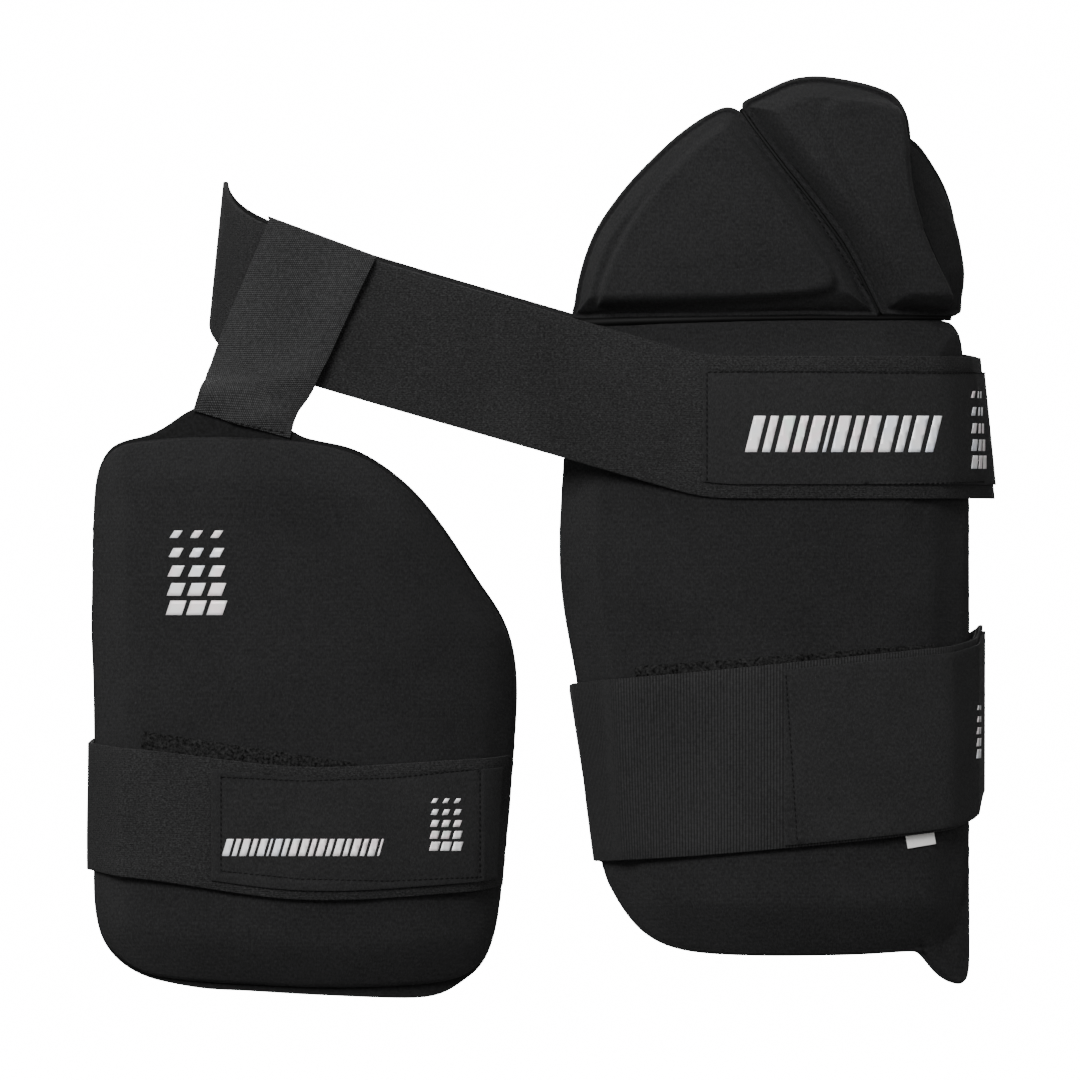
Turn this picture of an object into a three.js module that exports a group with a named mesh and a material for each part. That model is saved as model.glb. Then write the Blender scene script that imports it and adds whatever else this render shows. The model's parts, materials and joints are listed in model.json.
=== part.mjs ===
// A two-leg cricket thigh guard, fastened as it is worn: a large outer guard with three hip pads
// and a smaller inner guard, both carried by one elastic waist belt.
// Millimetres, +Z up. The guards face -Y, and the origin is the middle of the waist.
import * as THREE from "three";

// Waist belt
const waist_half_width = 202.2;
const waist_half_depth = 98;
const waist_shift = -3.3;
const waist_flare = 0.1;
const waist_squareness = 3.2;
const belt_width = 74;
const belt_thickness = 2.5;
const belt_level = -14.3;
const belt_kink_x = 53;
const belt_slope = 0.295;
const belt_kink_softness = 5;
const belt_hip_rise = 16;
const belt_hip_rise_depth = 85;
const belt_rear_lift = 5;

// Outer thigh guard
const outer_axis_x = 91;
const outer_half_width = 109;
const outer_height = 329;
const outer_top = 41.6;
const outer_padding = 19;
const outer_leg_x = 96;
const outer_leg_half_width = 102;
const outer_leg_half_depth = 84;
const outer_leg_level = -195;
const outer_form_bow = 1.25;

// Hip pads
const hip_height = 126;
const hip_padding = 15;
const hip_panel_raise = 6;
const hip_side_forward = 7;
const hip_setback = 26;
const hip_seam = 0.7;
const rear_hip_padding = 9;
const rear_hip_form_width = 119;
const rear_hip_form_depth = 104.6;

// Inner thigh guard
const inner_axis_x = -154.4;
const inner_half_width = 112.3;
const inner_height = 285;
const inner_top = -19.2;
const inner_padding = 17;
const inner_leg_x = -156;
const inner_leg_half_width = 104;
const inner_leg_half_depth = 82;
const inner_form_x = -162;
const inner_form_bow = 1.22;

// What both guards share
const leg_lean = 0.078;
const leg_taper = 0.08;
const form_clearance = 4;
const flange_width = 5;
const flange_thickness = 4;
const edge_round = 1.4;
const pad_bevel = 22;
const backing_thickness = 2.5;
const layer_gap = 0.3;

// Leg straps
const thigh_strap_width = 96;
const thigh_strap_level = outer_top - 0.7055 * outer_height;
const inner_strap_width = 69;
const inner_strap_level = inner_top - 0.7218 * inner_height;
const strap_thickness = 2.2;
const strap_gap = 0.95;
const strap_bend_spacing = 30;
const outline_bend_spacing = 22;
const edge_margin = 1.2;
const panel_thickness = 1.1;
const pile_thickness = 1.2;
const pile_lift = 0.45;

// Hanger strap, from the waist belt to the inner guard
const hanger_foot_x = -213.2;
const hanger_foot_z = -6.2;
const hanger_width = 53;
const hanger_drop = 98.8;
const hanger_thickness = 1.2;
const hanger_gap = 0.75;
const hanger_tab_gap = 0.6;

// Care label
const label_width = 13.7;
const label_drop = 9.4;
const label_thickness = 0.6;

const outer_bottom = outer_top - outer_height;
const inner_bottom = inner_top - inner_height;
const ray_count = 52;
const hip_ray_count = 36;
const hull_steps = 720;

const ease = (s) => THREE.MathUtils.smoothstep(s, 0, 1);
const dome = (s) => Math.sin((THREE.MathUtils.clamp(s, 0, 1) * Math.PI) / 2);
const mix = THREE.MathUtils.lerp;

// Outlines seen from the front. across is a share of the guard's half width, from its axis, and
// up is a share of its height, from its lower edge.
const outer_outline = [
  { across: -0.962, up: 0.985 },
  { across: -0.7, up: 0.994 },
  { across: -0.262, up: 0.998 },
  { across: 0.357, up: 1.0 },
  { across: 0.79, up: 1.0 },
  { across: 0.88, up: 0.99 },
  { across: 0.922, up: 0.95 },
  { across: 0.948, up: 0.8 },
  { across: 0.952, up: 0.558 },
  { across: 0.95, up: 0.3 },
  { across: 0.95, up: 0.06 },
  { across: 0.95, up: -0.015 },
  { across: 0.935, up: -0.042 },
  { across: 0.9, up: -0.05 },
  { across: 0.855, up: -0.046 },
  { across: 0.8, up: -0.033 },
  { across: 0.752, up: -0.014 },
  { across: 0.7, up: 0.0 },
  { across: 0.5, up: -0.001 },
  { across: 0.024, up: -0.004 },
  { across: -0.3, up: -0.001 },
  { across: -0.5, up: 0.008 },
  { across: -0.643, up: 0.032 },
  { across: -0.755, up: 0.075 },
  { across: -0.843, up: 0.139 },
  { across: -0.9, up: 0.29 },
  { across: -0.965, up: 0.43 },
  { across: -1.03, up: 0.55 },
  { across: -1.048, up: 0.64 },
  { across: -1.035, up: 0.74 },
  { across: -1.005, up: 0.87 },
];
// The padded body ends above the tongue at the outer guard's lower right corner.
const outer_body_outline = [
  ...outer_outline.slice(0, 9),
  { across: 0.95, up: 0.3 },
  { across: 0.945, up: 0.16 },
  { across: 0.915, up: 0.07 },
  { across: 0.84, up: 0.022 },
  { across: 0.7, up: 0.004 },
  ...outer_outline.slice(18),
];
const front_hip_outline = [
  { across: -0.968, up: 0.0 },
  { across: -0.971, up: 0.082 },
  { across: -0.933, up: 0.23 },
  { across: -0.862, up: 0.379 },
  { across: -0.72, up: 0.547 },
  { across: -0.648, up: 0.613 },
  { across: -0.49, up: 0.742 },
  { across: -0.319, up: 0.845 },
  { across: -0.224, up: 0.874 },
  { across: -0.165, up: 0.855 },
  { across: -0.095, up: 0.778 },
  { across: 0.048, up: 0.617 },
  { across: 0.19, up: 0.465 },
  { across: 0.333, up: 0.297 },
  { across: 0.433, up: 0.147 },
  { across: 0.503, up: 0.03 },
  { across: 0.49, up: 0.008 },
  { across: 0.167, up: 0.012 },
  { across: -0.262, up: 0.006 },
  { across: -0.69, up: 0.002 },
];
const side_hip_outline = [
  { across: -0.15, up: 0.886 },
  { across: -0.033, up: 0.945 },
  { across: 0.095, up: 0.992 },
  { across: 0.224, up: 1.004 },
  { across: 0.357, up: 0.99 },
  { across: 0.5, up: 0.962 },
  { across: 0.6, up: 0.92 },
  { across: 0.652, up: 0.85 },
  { across: 0.672, up: 0.745 },
  { across: 0.674, up: 0.65 },
  { across: 0.69, up: 0.53 },
  { across: 0.73, up: 0.4 },
  { across: 0.786, up: 0.28 },
  { across: 0.845, up: 0.17 },
  { across: 0.878, up: 0.08 },
  { across: 0.879, up: 0.025 },
  { across: 0.845, up: 0.012 },
  { across: 0.555, up: 0.015 },
  { across: 0.518, up: 0.034 },
  { across: 0.441, up: 0.165 },
  { across: 0.338, up: 0.325 },
  { across: 0.195, up: 0.49 },
  { across: 0.053, up: 0.64 },
  { across: -0.088, up: 0.796 },
];
// across is here a share of the half width measured round the hip, from the middle of the front.
const rear_hip_outline = [
  { across: 0.63, up: 0.03 },
  { across: 0.6, up: 0.2 },
  { across: 0.6, up: 0.45 },
  { across: 0.65, up: 0.68 },
  { across: 0.75, up: 0.76 },
  { across: 0.88, up: 0.775 },
  { across: 1.01, up: 0.735 },
  { across: 1.15, up: 0.645 },
  { across: 1.31, up: 0.54 },
  { across: 1.45, up: 0.42 },
  { across: 1.52, up: 0.29 },
  { across: 1.52, up: 0.15 },
  { across: 1.44, up: 0.045 },
  { across: 1.3, up: 0.016 },
  { across: 0.8, up: 0.012 },
];
const front_hip_panel = [
  { across: -0.82, up: 0.09 },
  { across: -0.76, up: 0.055 },
  { across: -0.2, up: 0.07 },
  { across: 0.2, up: 0.105 },
  { across: 0.272, up: 0.15 },
  { across: 0.22, up: 0.26 },
  { across: -0.02, up: 0.56 },
  { across: -0.2, up: 0.765 },
  { across: -0.28, up: 0.79 },
  { across: -0.5, up: 0.6 },
  { across: -0.7, up: 0.36 },
];
const side_hip_panel = [
  { across: 0.21, up: 0.82 },
  { across: 0.25, up: 0.895 },
  { across: 0.34, up: 0.91 },
  { across: 0.55, up: 0.9 },
  { across: 0.63, up: 0.82 },
  { across: 0.64, up: 0.62 },
  { across: 0.68, up: 0.42 },
  { across: 0.76, up: 0.22 },
  { across: 0.82, up: 0.06 },
  { across: 0.62, up: 0.06 },
  { across: 0.5, up: 0.26 },
  { across: 0.32, up: 0.58 },
];
const inner_outline = [
  { across: -0.801, up: 0.991 },
  { across: -0.477, up: 1.0 },
  { across: -0.06, up: 0.993 },
  { across: 0.14, up: 0.981 },
  { across: 0.28, up: 0.963 },
  { across: 0.4, up: 0.935 },
  { across: 0.53, up: 0.892 },
  { across: 0.676, up: 0.822 },
  { across: 0.81, up: 0.742 },
  { across: 0.931, up: 0.672 },
  { across: 0.987, up: 0.612 },
  { across: 1.005, up: 0.538 },
  { across: 0.99, up: 0.42 },
  { across: 0.963, up: 0.292 },
  { across: 0.925, up: 0.14 },
  { across: 0.886, up: 0.07 },
  { across: 0.819, up: 0.03 },
  { across: 0.704, up: 0.008 },
  { across: 0.449, up: -0.002 },
  { across: 0.1, up: -0.004 },
  { across: -0.273, up: 0.002 },
  { across: -0.56, up: 0.009 },
  { across: -0.74, up: 0.02 },
  { across: -0.87, up: 0.048 },
  { across: -0.95, up: 0.085 },
  { across: -0.988, up: 0.14 },
  { across: -0.993, up: 0.25 },
  { across: -0.986, up: 0.447 },
  { across: -1.0, up: 0.7 },
  { across: -0.995, up: 0.849 },
  { across: -0.978, up: 0.925 },
  { across: -0.935, up: 0.964 },
  { across: -0.87, up: 0.984 },
];
const inner_backing_outline = [
  { across: -0.8, up: 0.998 },
  { across: -0.7, up: 1.012 },
  { across: -0.6, up: 1.03 },
  { across: -0.52, up: 1.054 },
  { across: -0.47, up: 1.066 },
  { across: -0.28, up: 1.05 },
  { across: -0.1, up: 1.026 },
  { across: -0.045, up: 0.996 },
  ...inner_outline.slice(3, 15),
  { across: 0.88, up: 0.062 },
  { across: 0.81, up: 0.02 },
  { across: 0.73, up: -0.008 },
  { across: 0.64, up: -0.022 },
  { across: 0.5, up: -0.025 },
  { across: 0.148, up: -0.02 },
  { across: -0.273, up: -0.011 },
  { across: -0.6, up: -0.001 },
  ...inner_outline.slice(22),
];

// Which steps of a line to keep so that they are evenly spaced, and closer where it bends.
function spacedSteps(places, count, bend_spacing) {
  const run = [0];
  for (let i = 1; i < places.length; i++) {
    const back = places[i - 1].clone().sub(places[i]);
    const on = places[i + 1] ? places[i + 1].clone().sub(places[i]) : back.clone().negate();
    run.push(run[i - 1] + back.length() + (Math.PI - back.angleTo(on)) * bend_spacing);
  }
  return Array.from({ length: count }, (_, k) => {
    const wanted = (k / (count - 1)) * run.at(-1);
    const i = Math.max(1, run.findIndex((length) => length >= wanted - 1e-9));
    return i - 1 + (wanted - run[i - 1]) / (run[i] - run[i - 1]);
  });
}

// A closed smooth line through an outline's points: its points, its middle, and the distance in
// from it, which is negative outside.
function outlineOf(table, axis, half_width, base, height, samples) {
  const knots = table.map(
    ({ across, up }) => new THREE.Vector3(axis + across * half_width, 0, base + up * height),
  );
  const curve = new THREE.CatmullRomCurve3(knots, true, "centripetal");
  const fine = curve.getSpacedPoints(600);
  const steps = spacedSteps(fine, samples + 1, outline_bend_spacing).slice(0, -1);
  const points = steps.map((step) => fine[Math.floor(step)].clone().lerp(fine[Math.floor(step) + 1], step % 1));
  const inset = (x, z) => {
    let nearest = Infinity;
    let inside = false;
    points.forEach((p, i) => {
      const q = points[(i + 1) % points.length];
      const share = THREE.MathUtils.clamp(
        ((x - p.x) * (q.x - p.x) + (z - p.z) * (q.z - p.z)) /
          ((q.x - p.x) ** 2 + (q.z - p.z) ** 2),
        0,
        1,
      );
      const away = Math.hypot(x - mix(p.x, q.x, share), z - mix(p.z, q.z, share));
      nearest = Math.min(nearest, away);
      if (p.z > z !== q.z > z && x < p.x + ((z - p.z) / (q.z - p.z)) * (q.x - p.x)) {
        inside = !inside;
      }
    });
    return inside ? nearest : -nearest;
  };
  return { points, middle: deepestOf(points, inset), inset };
}

// The deepest place inside an outline, kept close to the middle of its box.
function deepestOf(points, inset) {
  const box = new THREE.Box3().setFromPoints(points);
  const [centre, size] = [box.getCenter(new THREE.Vector3()), box.getSize(new THREE.Vector3())];
  const shares = Array.from({ length: 21 }, (_, i) => i / 20 - 0.5);
  const spots = shares.flatMap((u) =>
    shares.map((v) => new THREE.Vector3(centre.x + u * size.x, 0, centre.z + v * size.z)),
  );
  const depth = (spot) => inset(spot.x, spot.z) - 0.3 * spot.distanceTo(centre);
  return spots.reduce((best, spot) => (depth(spot) > depth(best) ? spot : best));
}

// How far a ray reaches before it leaves a closed line. Points and rays are taken in the plane of
// the two named axes.
function reachTo(line, from, direction, [u, v]) {
  let reach = 0;
  line.forEach((p, i) => {
    const q = line[(i + 1) % line.length];
    const edge = [q[u] - p[u], q[v] - p[v]];
    const start = [p[u] - from[u], p[v] - from[v]];
    const turn = direction[u] * edge[1] - direction[v] * edge[0];
    if (Math.abs(turn) < 1e-9) return;
    const along = (start[0] * edge[1] - start[1] * edge[0]) / turn;
    const share = (start[0] * direction[v] - start[1] * direction[u]) / turn;
    if (along > 0 && share > -1e-6 && share < 1 + 1e-6) reach = Math.max(reach, along);
  });
  return reach;
}

// The curved surface that a guard is moulded on: an upright oval whose middle leans and whose
// width tapers. place() takes a turn from the front, a height and a distance out from it.
function ovalForm({ x, half_width, half_depth, level, lean = 0, taper = 0, setback = () => 0 }) {
  const middleAt = (z) => x + (level - z) * lean;
  const widthAt = (z) => half_width - (level - z) * taper;
  const place = (turn, z, out) => {
    const width = widthAt(z);
    const normal = [half_depth * Math.sin(turn), -width * Math.cos(turn)];
    const scale = out / Math.hypot(...normal);
    return new THREE.Vector3(
      middleAt(z) + width * Math.sin(turn) + normal[0] * scale,
      -half_depth * Math.cos(turn) + normal[1] * scale + setback(z),
      z,
    );
  };
  const turnAt = (across, z, out) =>
    Math.asin(THREE.MathUtils.clamp((across - middleAt(z)) / (widthAt(z) + out), -1, 1));
  return { place, turnAt, half_width };
}

// A triangle mesh from points and faces, turned so that its faces point outwards.
function solidOf(points, faces) {
  const corner = (i) => points[i];
  const volume = faces.reduce(
    (sum, [a, b, c]) => sum + corner(a).dot(new THREE.Vector3().crossVectors(corner(b), corner(c))),
    0,
  );
  const index = faces.flatMap(([a, b, c]) => (volume > 0 ? [a, b, c] : [a, c, b]));
  const geometry = new THREE.BufferGeometry().setFromPoints(points);
  geometry.setIndex(index);
  geometry.computeVertexNormals();
  return geometry;
}

// A solid skin over a back and a front. Each is a list of rings from the rim inwards, then a
// middle point.
function ringedSolid(back, front) {
  const count = back[0].length;
  const points = [...back.flat(), ...front.flat()];
  const at = (side, ring, i) => side * back.flat().length + ring * count + (i % count);
  const faces = [];
  for (let i = 0; i < count; i++) {
    [back, front].forEach((rings, side) => {
      const face = (a, b, c) => faces.push(side ? [a, b, c] : [a, c, b]);
      const last = rings.length - 2;
      for (let ring = 0; ring < last; ring++) {
        face(at(side, ring, i), at(side, ring, i + 1), at(side, ring + 1, i + 1));
        face(at(side, ring, i), at(side, ring + 1, i + 1), at(side, ring + 1, i));
      }
      face(at(side, last, i), at(side, last, i + 1), at(side, last + 1, 0));
    });
    faces.push([at(0, 0, i), at(0, 0, i + 1), at(1, 0, i + 1)]);
    faces.push([at(0, 0, i), at(1, 0, i + 1), at(1, 0, i)]);
  }
  return solidOf(points, faces);
}

// A slab between two like grids of points. A closed slab runs round into its own start.
function slabSolid(inner, outer, closed = false) {
  const rows = inner.length;
  const columns = inner[0].length;
  const points = [...inner.flat(), ...outer.flat()];
  const at = (side, row, column) => side * rows * columns + (row % rows) * columns + column;
  const faces = [];
  const quad = (a, b, c, d) => faces.push([a, b, c], [a, c, d]);
  for (let row = 0; row < rows - (closed ? 0 : 1); row++) {
    for (let column = 0; column + 1 < columns; column++) {
      quad(at(0, row, column), at(0, row, column + 1), at(0, row + 1, column + 1), at(0, row + 1, column));
      quad(at(1, row, column), at(1, row + 1, column), at(1, row + 1, column + 1), at(1, row, column + 1));
    }
    quad(at(0, row, 0), at(0, row + 1, 0), at(1, row + 1, 0), at(1, row, 0));
    const end = columns - 1;
    quad(at(0, row, end), at(1, row, end), at(1, row + 1, end), at(0, row + 1, end));
  }
  for (let column = 0; !closed && column + 1 < columns; column++) {
    const end = rows - 1;
    quad(at(0, 0, column), at(1, 0, column), at(1, 0, column + 1), at(0, 0, column + 1));
    quad(at(0, end, column), at(0, end, column + 1), at(1, end, column + 1), at(1, end, column));
  }
  return solidOf(points, faces);
}

// A stitched pad: a thin flange round a rounded body, with a moulded panel where it has one.
function padOf({ outline, form, back, body, inner = outline, panel, panel_raise, turnFor }) {
  const thickness = (x, z) => {
    const inset = Math.max(outline.inset(x, z), 0);
    const deep = Math.min(inset, inner.inset(x, z));
    const edge = flange_thickness * mix(0.45, 1, ease(inset / edge_round));
    const swell = (body - flange_thickness) * dome((deep - flange_width) / pad_bevel);
    const raised = panel ? panel_raise * ease(panel.inset(x, z) / (1.6 * panel_raise) + 0.35) : 0;
    return edge + swell + raised;
  };
  const turn = turnFor ?? ((x, z) => form.turnAt(x, z, back + flange_thickness));
  const place = (x, z, out) => form.place(turn(x, z), z, out);
  const front = (x, z) => back + thickness(x, z);
  return { outline, back, place, front };
}

const front_insets = [0, edge_round, flange_width, flange_width + 0.25 * pad_bevel];
const deep_inset = flange_width + 0.8 * pad_bevel;
const deep_shares = [0.3, 0.62];

// Rings of a pad's face: near the edge at set distances in from it, then shares of the way in.
function faceRings(pad, insets, out) {
  const { points, middle } = pad.outline;
  const near = insets.map((inset) =>
    points.map((p) => p.clone().lerp(middle, inset / p.distanceTo(middle))),
  );
  const deep = deep_shares.map((share) =>
    points.map((p) => p.clone().lerp(middle, mix(deep_inset / p.distanceTo(middle), 1, share))),
  );
  const rings = [...near, ...deep, [middle]];
  return rings.map((ring) => ring.map((p) => pad.place(p.x, p.z, out(p.x, p.z))));
}

function padSolid(pad) {
  const back = faceRings(pad, [0, deep_inset], () => pad.back);
  return ringedSolid(back, faceRings(pad, [...front_insets, deep_inset], pad.front));
}

// The lining sheet behind a pad. Its rings follow the pad's own, with a rim beyond them where it
// has its own outline.
function backingSolid(pad, outline = null) {
  const { points, middle } = pad.outline;
  const rimOf = (p) => {
    const direction = p.clone().sub(middle).normalize();
    const own = reachTo(outline.points, middle, direction, ["x", "z"]);
    const reach = Math.max(own, p.distanceTo(middle) + edge_round);
    return middle.clone().addScaledVector(direction, reach);
  };
  const rim = outline ? [points.map(rimOf)] : [];
  const sheet = (out) => [
    ...rim.map((ring) => ring.map((p) => pad.place(p.x, p.z, out))),
    ...faceRings(pad, [0, deep_inset], () => out),
  ];
  return ringedSolid(sheet(0), sheet(backing_thickness));
}

// The convex line round a set of points, seen from above.
function hullOf(points) {
  const sorted = [...points].sort((p, q) => p.x - q.x || p.y - q.y);
  const half = (list) => {
    const kept = [];
    for (const p of list) {
      while (kept.length > 1) {
        const [a, b] = kept.slice(-2);
        if ((b.x - a.x) * (p.y - a.y) - (b.y - a.y) * (p.x - a.x) > 1e-9) break;
        kept.pop();
      }
      kept.push(p);
    }
    return kept.slice(0, -1);
  };
  return [...half(sorted), ...half(sorted.reverse())];
}

// A hull moved outwards by a distance.
function grown(hull, distance) {
  return hull.map((p, i) => {
    const before = hull.at(i - 1);
    const after = hull[(i + 1) % hull.length];
    const normalOf = (a, b) => new THREE.Vector3(b.y - a.y, a.x - b.x, 0).normalize();
    const [one, two] = [normalOf(before, p), normalOf(p, after)];
    const normal = one.clone().add(two).normalize();
    return p.clone().addScaledVector(normal, distance / Math.max(normal.dot(one), 0.5));
  });
}

// The front of a hull at one place across it, or at its end where it stops short of that.
function hullFront(hull, x) {
  const inside = Math.max(x, Math.min(...hull.map((p) => p.x)) + 1);
  const crossings = hull.flatMap((p, i) => {
    const q = hull[(i + 1) % hull.length];
    return p.x > inside !== q.x > inside ? [mix(p.y, q.y, (inside - p.x) / (q.x - p.x))] : [];
  });
  return new THREE.Vector3(inside, Math.min(...crossings), 0);
}

// Where an outline starts and ends at one height, or nothing above and below it.
function spanOf({ points }, z) {
  const ends = points.flatMap((p, i) => {
    const q = points[(i + 1) % points.length];
    return p.z > z !== q.z > z ? [mix(p.x, q.x, (z - p.z) / (q.z - p.z))] : [];
  });
  return ends.length ? [Math.min(...ends), Math.max(...ends)] : null;
}

// A pad's front line at one height, with what lies on it and a clear margin at its edges.
function padSection(pad, z, lift = () => 0) {
  const span = spanOf(pad.outline, z);
  const at = (x) => pad.place(x, z, pad.front(x, z) + lift(x));
  if (!span) return [];
  return Array.from({ length: 81 }, (_, i) => at(mix(span[0] - edge_margin, span[1] + edge_margin, i / 80)));
}

// The back of a lining near its right edge, a distance behind it.
function liningEdge(pad, z, behind) {
  const right = spanOf(pad.outline, z)[1];
  return [30, 22, 14, 8].map((inset) => pad.place(right - inset, z, -behind));
}

// A strap drawn tight round what it wraps. turns are the places along it, counted from the front.
// The grid is given for a distance out from what it wraps.
function strapGrid({ turns, centre, levelAt, widthAt, wrap }) {
  return (out) =>
    turns.map((turn) =>
      strap_columns.map((column) => {
        const z = levelAt(turn) + (column * widthAt(turn)) / 2;
        const direction = new THREE.Vector3(Math.sin(turn), -Math.cos(turn), 0);
        const reach = reachTo(grown(wrap(z, turn), out), centre, direction, ["x", "y"]);
        return centre.clone().addScaledVector(direction, reach).setZ(z);
      }),
    );
}

// Turns spaced along a hull, from one turn to another.
function evenTurns(hull, centre, from, to, count) {
  const turns = Array.from({ length: hull_steps + 1 }, (_, i) => mix(from, to, i / hull_steps));
  const places = turns.map((turn) => {
    const direction = new THREE.Vector3(Math.sin(turn), -Math.cos(turn), 0);
    return direction.multiplyScalar(reachTo(hull, centre, direction, ["x", "y"]));
  });
  const steps = spacedSteps(places, count, strap_bend_spacing);
  return steps.map((step) => mix(from, to, step / hull_steps));
}

// A panel sewn flat on a strap, from one turn to another and between two shares of its width.
function strapPanel({ turns, grid, top }, { from, to, low, high }) {
  const rowOf = (turn) => {
    const next = turns.findIndex((each) => each > turn);
    return next - 1 + (turn - turns[next - 1]) / (turns[next] - turns[next - 1]);
  };
  const rows = [rowOf(from), ...turns.flatMap((turn, i) => (turn > from && turn < to ? [i] : [])), rowOf(to)];
  const columns = [low, ...strap_columns.slice(1, -1), high];
  const onGrid = (points) => (row, column) => {
    const i = Math.min(Math.floor(row), points.length - 2);
    const j = column < strap_columns[1] ? 0 : column < strap_columns[2] ? 1 : 2;
    const share = (column - strap_columns[j]) / (strap_columns[j + 1] - strap_columns[j]);
    const across = (line) => line[j].clone().lerp(line[j + 1], share);
    return across(points[i]).lerp(across(points[i + 1]), row - i);
  };
  const sheet = (out) => {
    const at = onGrid(grid(out));
    return rows.map((row) => columns.map((column) => at(row, column)));
  };
  return slabSolid(sheet(top + layer_gap), sheet(top + layer_gap + panel_thickness));
}

// A smooth round trip through a table's values, by the turn in degrees from the front.
function roundTrip(table, key) {
  const span = 360;
  return (turn) => {
    const degrees = (((turn * 180) / Math.PI) % span + span) % span;
    const i = table.findLastIndex((row) => row.turn <= degrees);
    const row = (k) => table[(k + table.length) % table.length];
    const next = i + 1 < table.length ? table[i + 1].turn : span;
    const s = (degrees - table[i].turn) / (next - table[i].turn);
    const [p, q, r, t] = [row(i - 1), row(i), row(i + 1), row(i + 2)].map((each) => each[key]);
    return 0.5 * (2 * q + (r - p) * s + (2 * p - 5 * q + 4 * r - t) * s * s + (3 * q - p - 3 * r + t) * s ** 3);
  };
}

function meshOf(name, geometry, material) {
  const mesh = new THREE.Mesh(geometry, material);
  mesh.name = name;
  return mesh;
}

const cloth = (color, roughness) => new THREE.MeshStandardMaterial({ color, roughness, metalness: 0 });
const pad_cloth = cloth(0x1c1c1d, 0.85);
const lining_cloth = cloth(0x161617, 0.95);
const elastic_cloth = cloth(0x202021, 0.9);
const panel_cloth = cloth(0x1b1b1c, 0.8);
const webbing_cloth = cloth(0x2e2e2f, 0.7);
const pile_cloth = cloth(0x121213, 1);
const label_cloth = cloth(0xe8e6e2, 0.7);

const guard = new THREE.Group();

// Outer guard: lining, thigh pad and three hip pads
const outer_form = ovalForm({
  x: outer_leg_x,
  half_width: outer_leg_half_width * outer_form_bow,
  half_depth: outer_leg_half_depth + form_clearance,
  level: outer_leg_level,
  lean: leg_lean,
  taper: leg_taper,
  setback: (z) => hip_setback * (Math.max(z - outer_top, 0) / hip_height) ** 2,
});
const pad_back = backing_thickness + layer_gap;
const outlineOuter = (table, base, height, rays) =>
  outlineOf(table, outer_axis_x, outer_half_width, base, height, rays);
const outer_pad = padOf({
  outline: outlineOuter(outer_outline, outer_bottom, outer_height, ray_count),
  inner: outlineOuter(outer_body_outline, outer_bottom, outer_height, ray_count),
  form: outer_form,
  back: pad_back,
  body: outer_padding,
});
guard.add(meshOf("outer_backing", backingSolid(outer_pad), lining_cloth));
guard.add(meshOf("outer_pad", padSolid(outer_pad), pad_cloth));

const hip_base = outer_top + hip_seam;
const front_hip = padOf({
  outline: outlineOuter(front_hip_outline, hip_base, hip_height, hip_ray_count),
  form: outer_form,
  back: pad_back,
  body: hip_padding,
  panel: outlineOuter(front_hip_panel, hip_base, hip_height, hip_ray_count),
  panel_raise: hip_panel_raise,
});
const side_hip = padOf({
  outline: outlineOuter(side_hip_outline, hip_base, hip_height, hip_ray_count),
  form: outer_form,
  back: pad_back,
  body: hip_padding + hip_side_forward,
  panel: outlineOuter(side_hip_panel, hip_base, hip_height, hip_ray_count),
  panel_raise: hip_panel_raise / 2,
});
const rear_hip_form = ovalForm({
  x: outer_form.place(0, outer_top, 0).x,
  half_width: rear_hip_form_width,
  half_depth: rear_hip_form_depth,
  level: outer_top,
  lean: leg_lean,
  setback: (z) => hip_setback * (Math.max(z - outer_top, 0) / hip_height) ** 2,
});
const rear_hip = padOf({
  outline: outlineOf(
    rear_hip_outline,
    0,
    rear_hip_form_width,
    hip_base,
    hip_height,
    hip_ray_count - 8,
  ),
  form: rear_hip_form,
  back: -rear_hip_padding,
  body: rear_hip_padding,
  turnFor: (x) => x / rear_hip_form_width,
});
guard.add(meshOf("front_hip_pad", padSolid(front_hip), pad_cloth));
guard.add(meshOf("side_hip_pad", padSolid(side_hip), pad_cloth));
guard.add(meshOf("rear_hip_pad", padSolid(rear_hip), pad_cloth));

// Inner guard: lining with its top tab, and thigh pad
const inner_form = ovalForm({
  x: inner_form_x,
  half_width: inner_leg_half_width * inner_form_bow,
  half_depth: inner_leg_half_depth + form_clearance,
  level: inner_bottom + inner_height / 3,
  lean: 0,
  taper: leg_taper / 2,
});
const outlineInner = (table) =>
  outlineOf(table, inner_axis_x, inner_half_width, inner_bottom, inner_height, ray_count);
const inner_pad = padOf({
  outline: outlineInner(inner_outline),
  form: inner_form,
  back: pad_back,
  body: inner_padding,
});
const inner_backing = backingSolid(inner_pad, outlineInner(inner_backing_outline));
guard.add(meshOf("inner_backing", inner_backing, lining_cloth));
guard.add(meshOf("inner_pad", padSolid(inner_pad), pad_cloth));

// Leg straps. level and width are shares of the strap's width, by the turn from the front.
const thigh_strap_route = [
  { turn: 0, level: 0.06, width: 1.0 },
  { turn: 45, level: 0.16, width: 0.99 },
  { turn: 90, level: 0.3, width: 0.92 },
  { turn: 135, level: 0.1, width: 0.92 },
  { turn: 180, level: -0.06, width: 0.92 },
  { turn: 225, level: -0.12, width: 0.92 },
  { turn: 270, level: -0.06, width: 0.93 },
  { turn: 315, level: -0.02, width: 0.98 },
];
const inner_strap_route = [
  { turn: 0, level: 0.0, width: 1.0 },
  { turn: 45, level: 0.05, width: 1.0 },
  { turn: 90, level: 0.14, width: 0.95 },
  { turn: 135, level: 0.1, width: 0.95 },
  { turn: 180, level: 0.04, width: 0.95 },
  { turn: 225, level: 0.1, width: 0.95 },
  { turn: 270, level: 0.225, width: 0.95 },
  { turn: 315, level: 0.15, width: 0.97 },
];
const strap_columns = [-1, -0.34, 0.34, 1];

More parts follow.
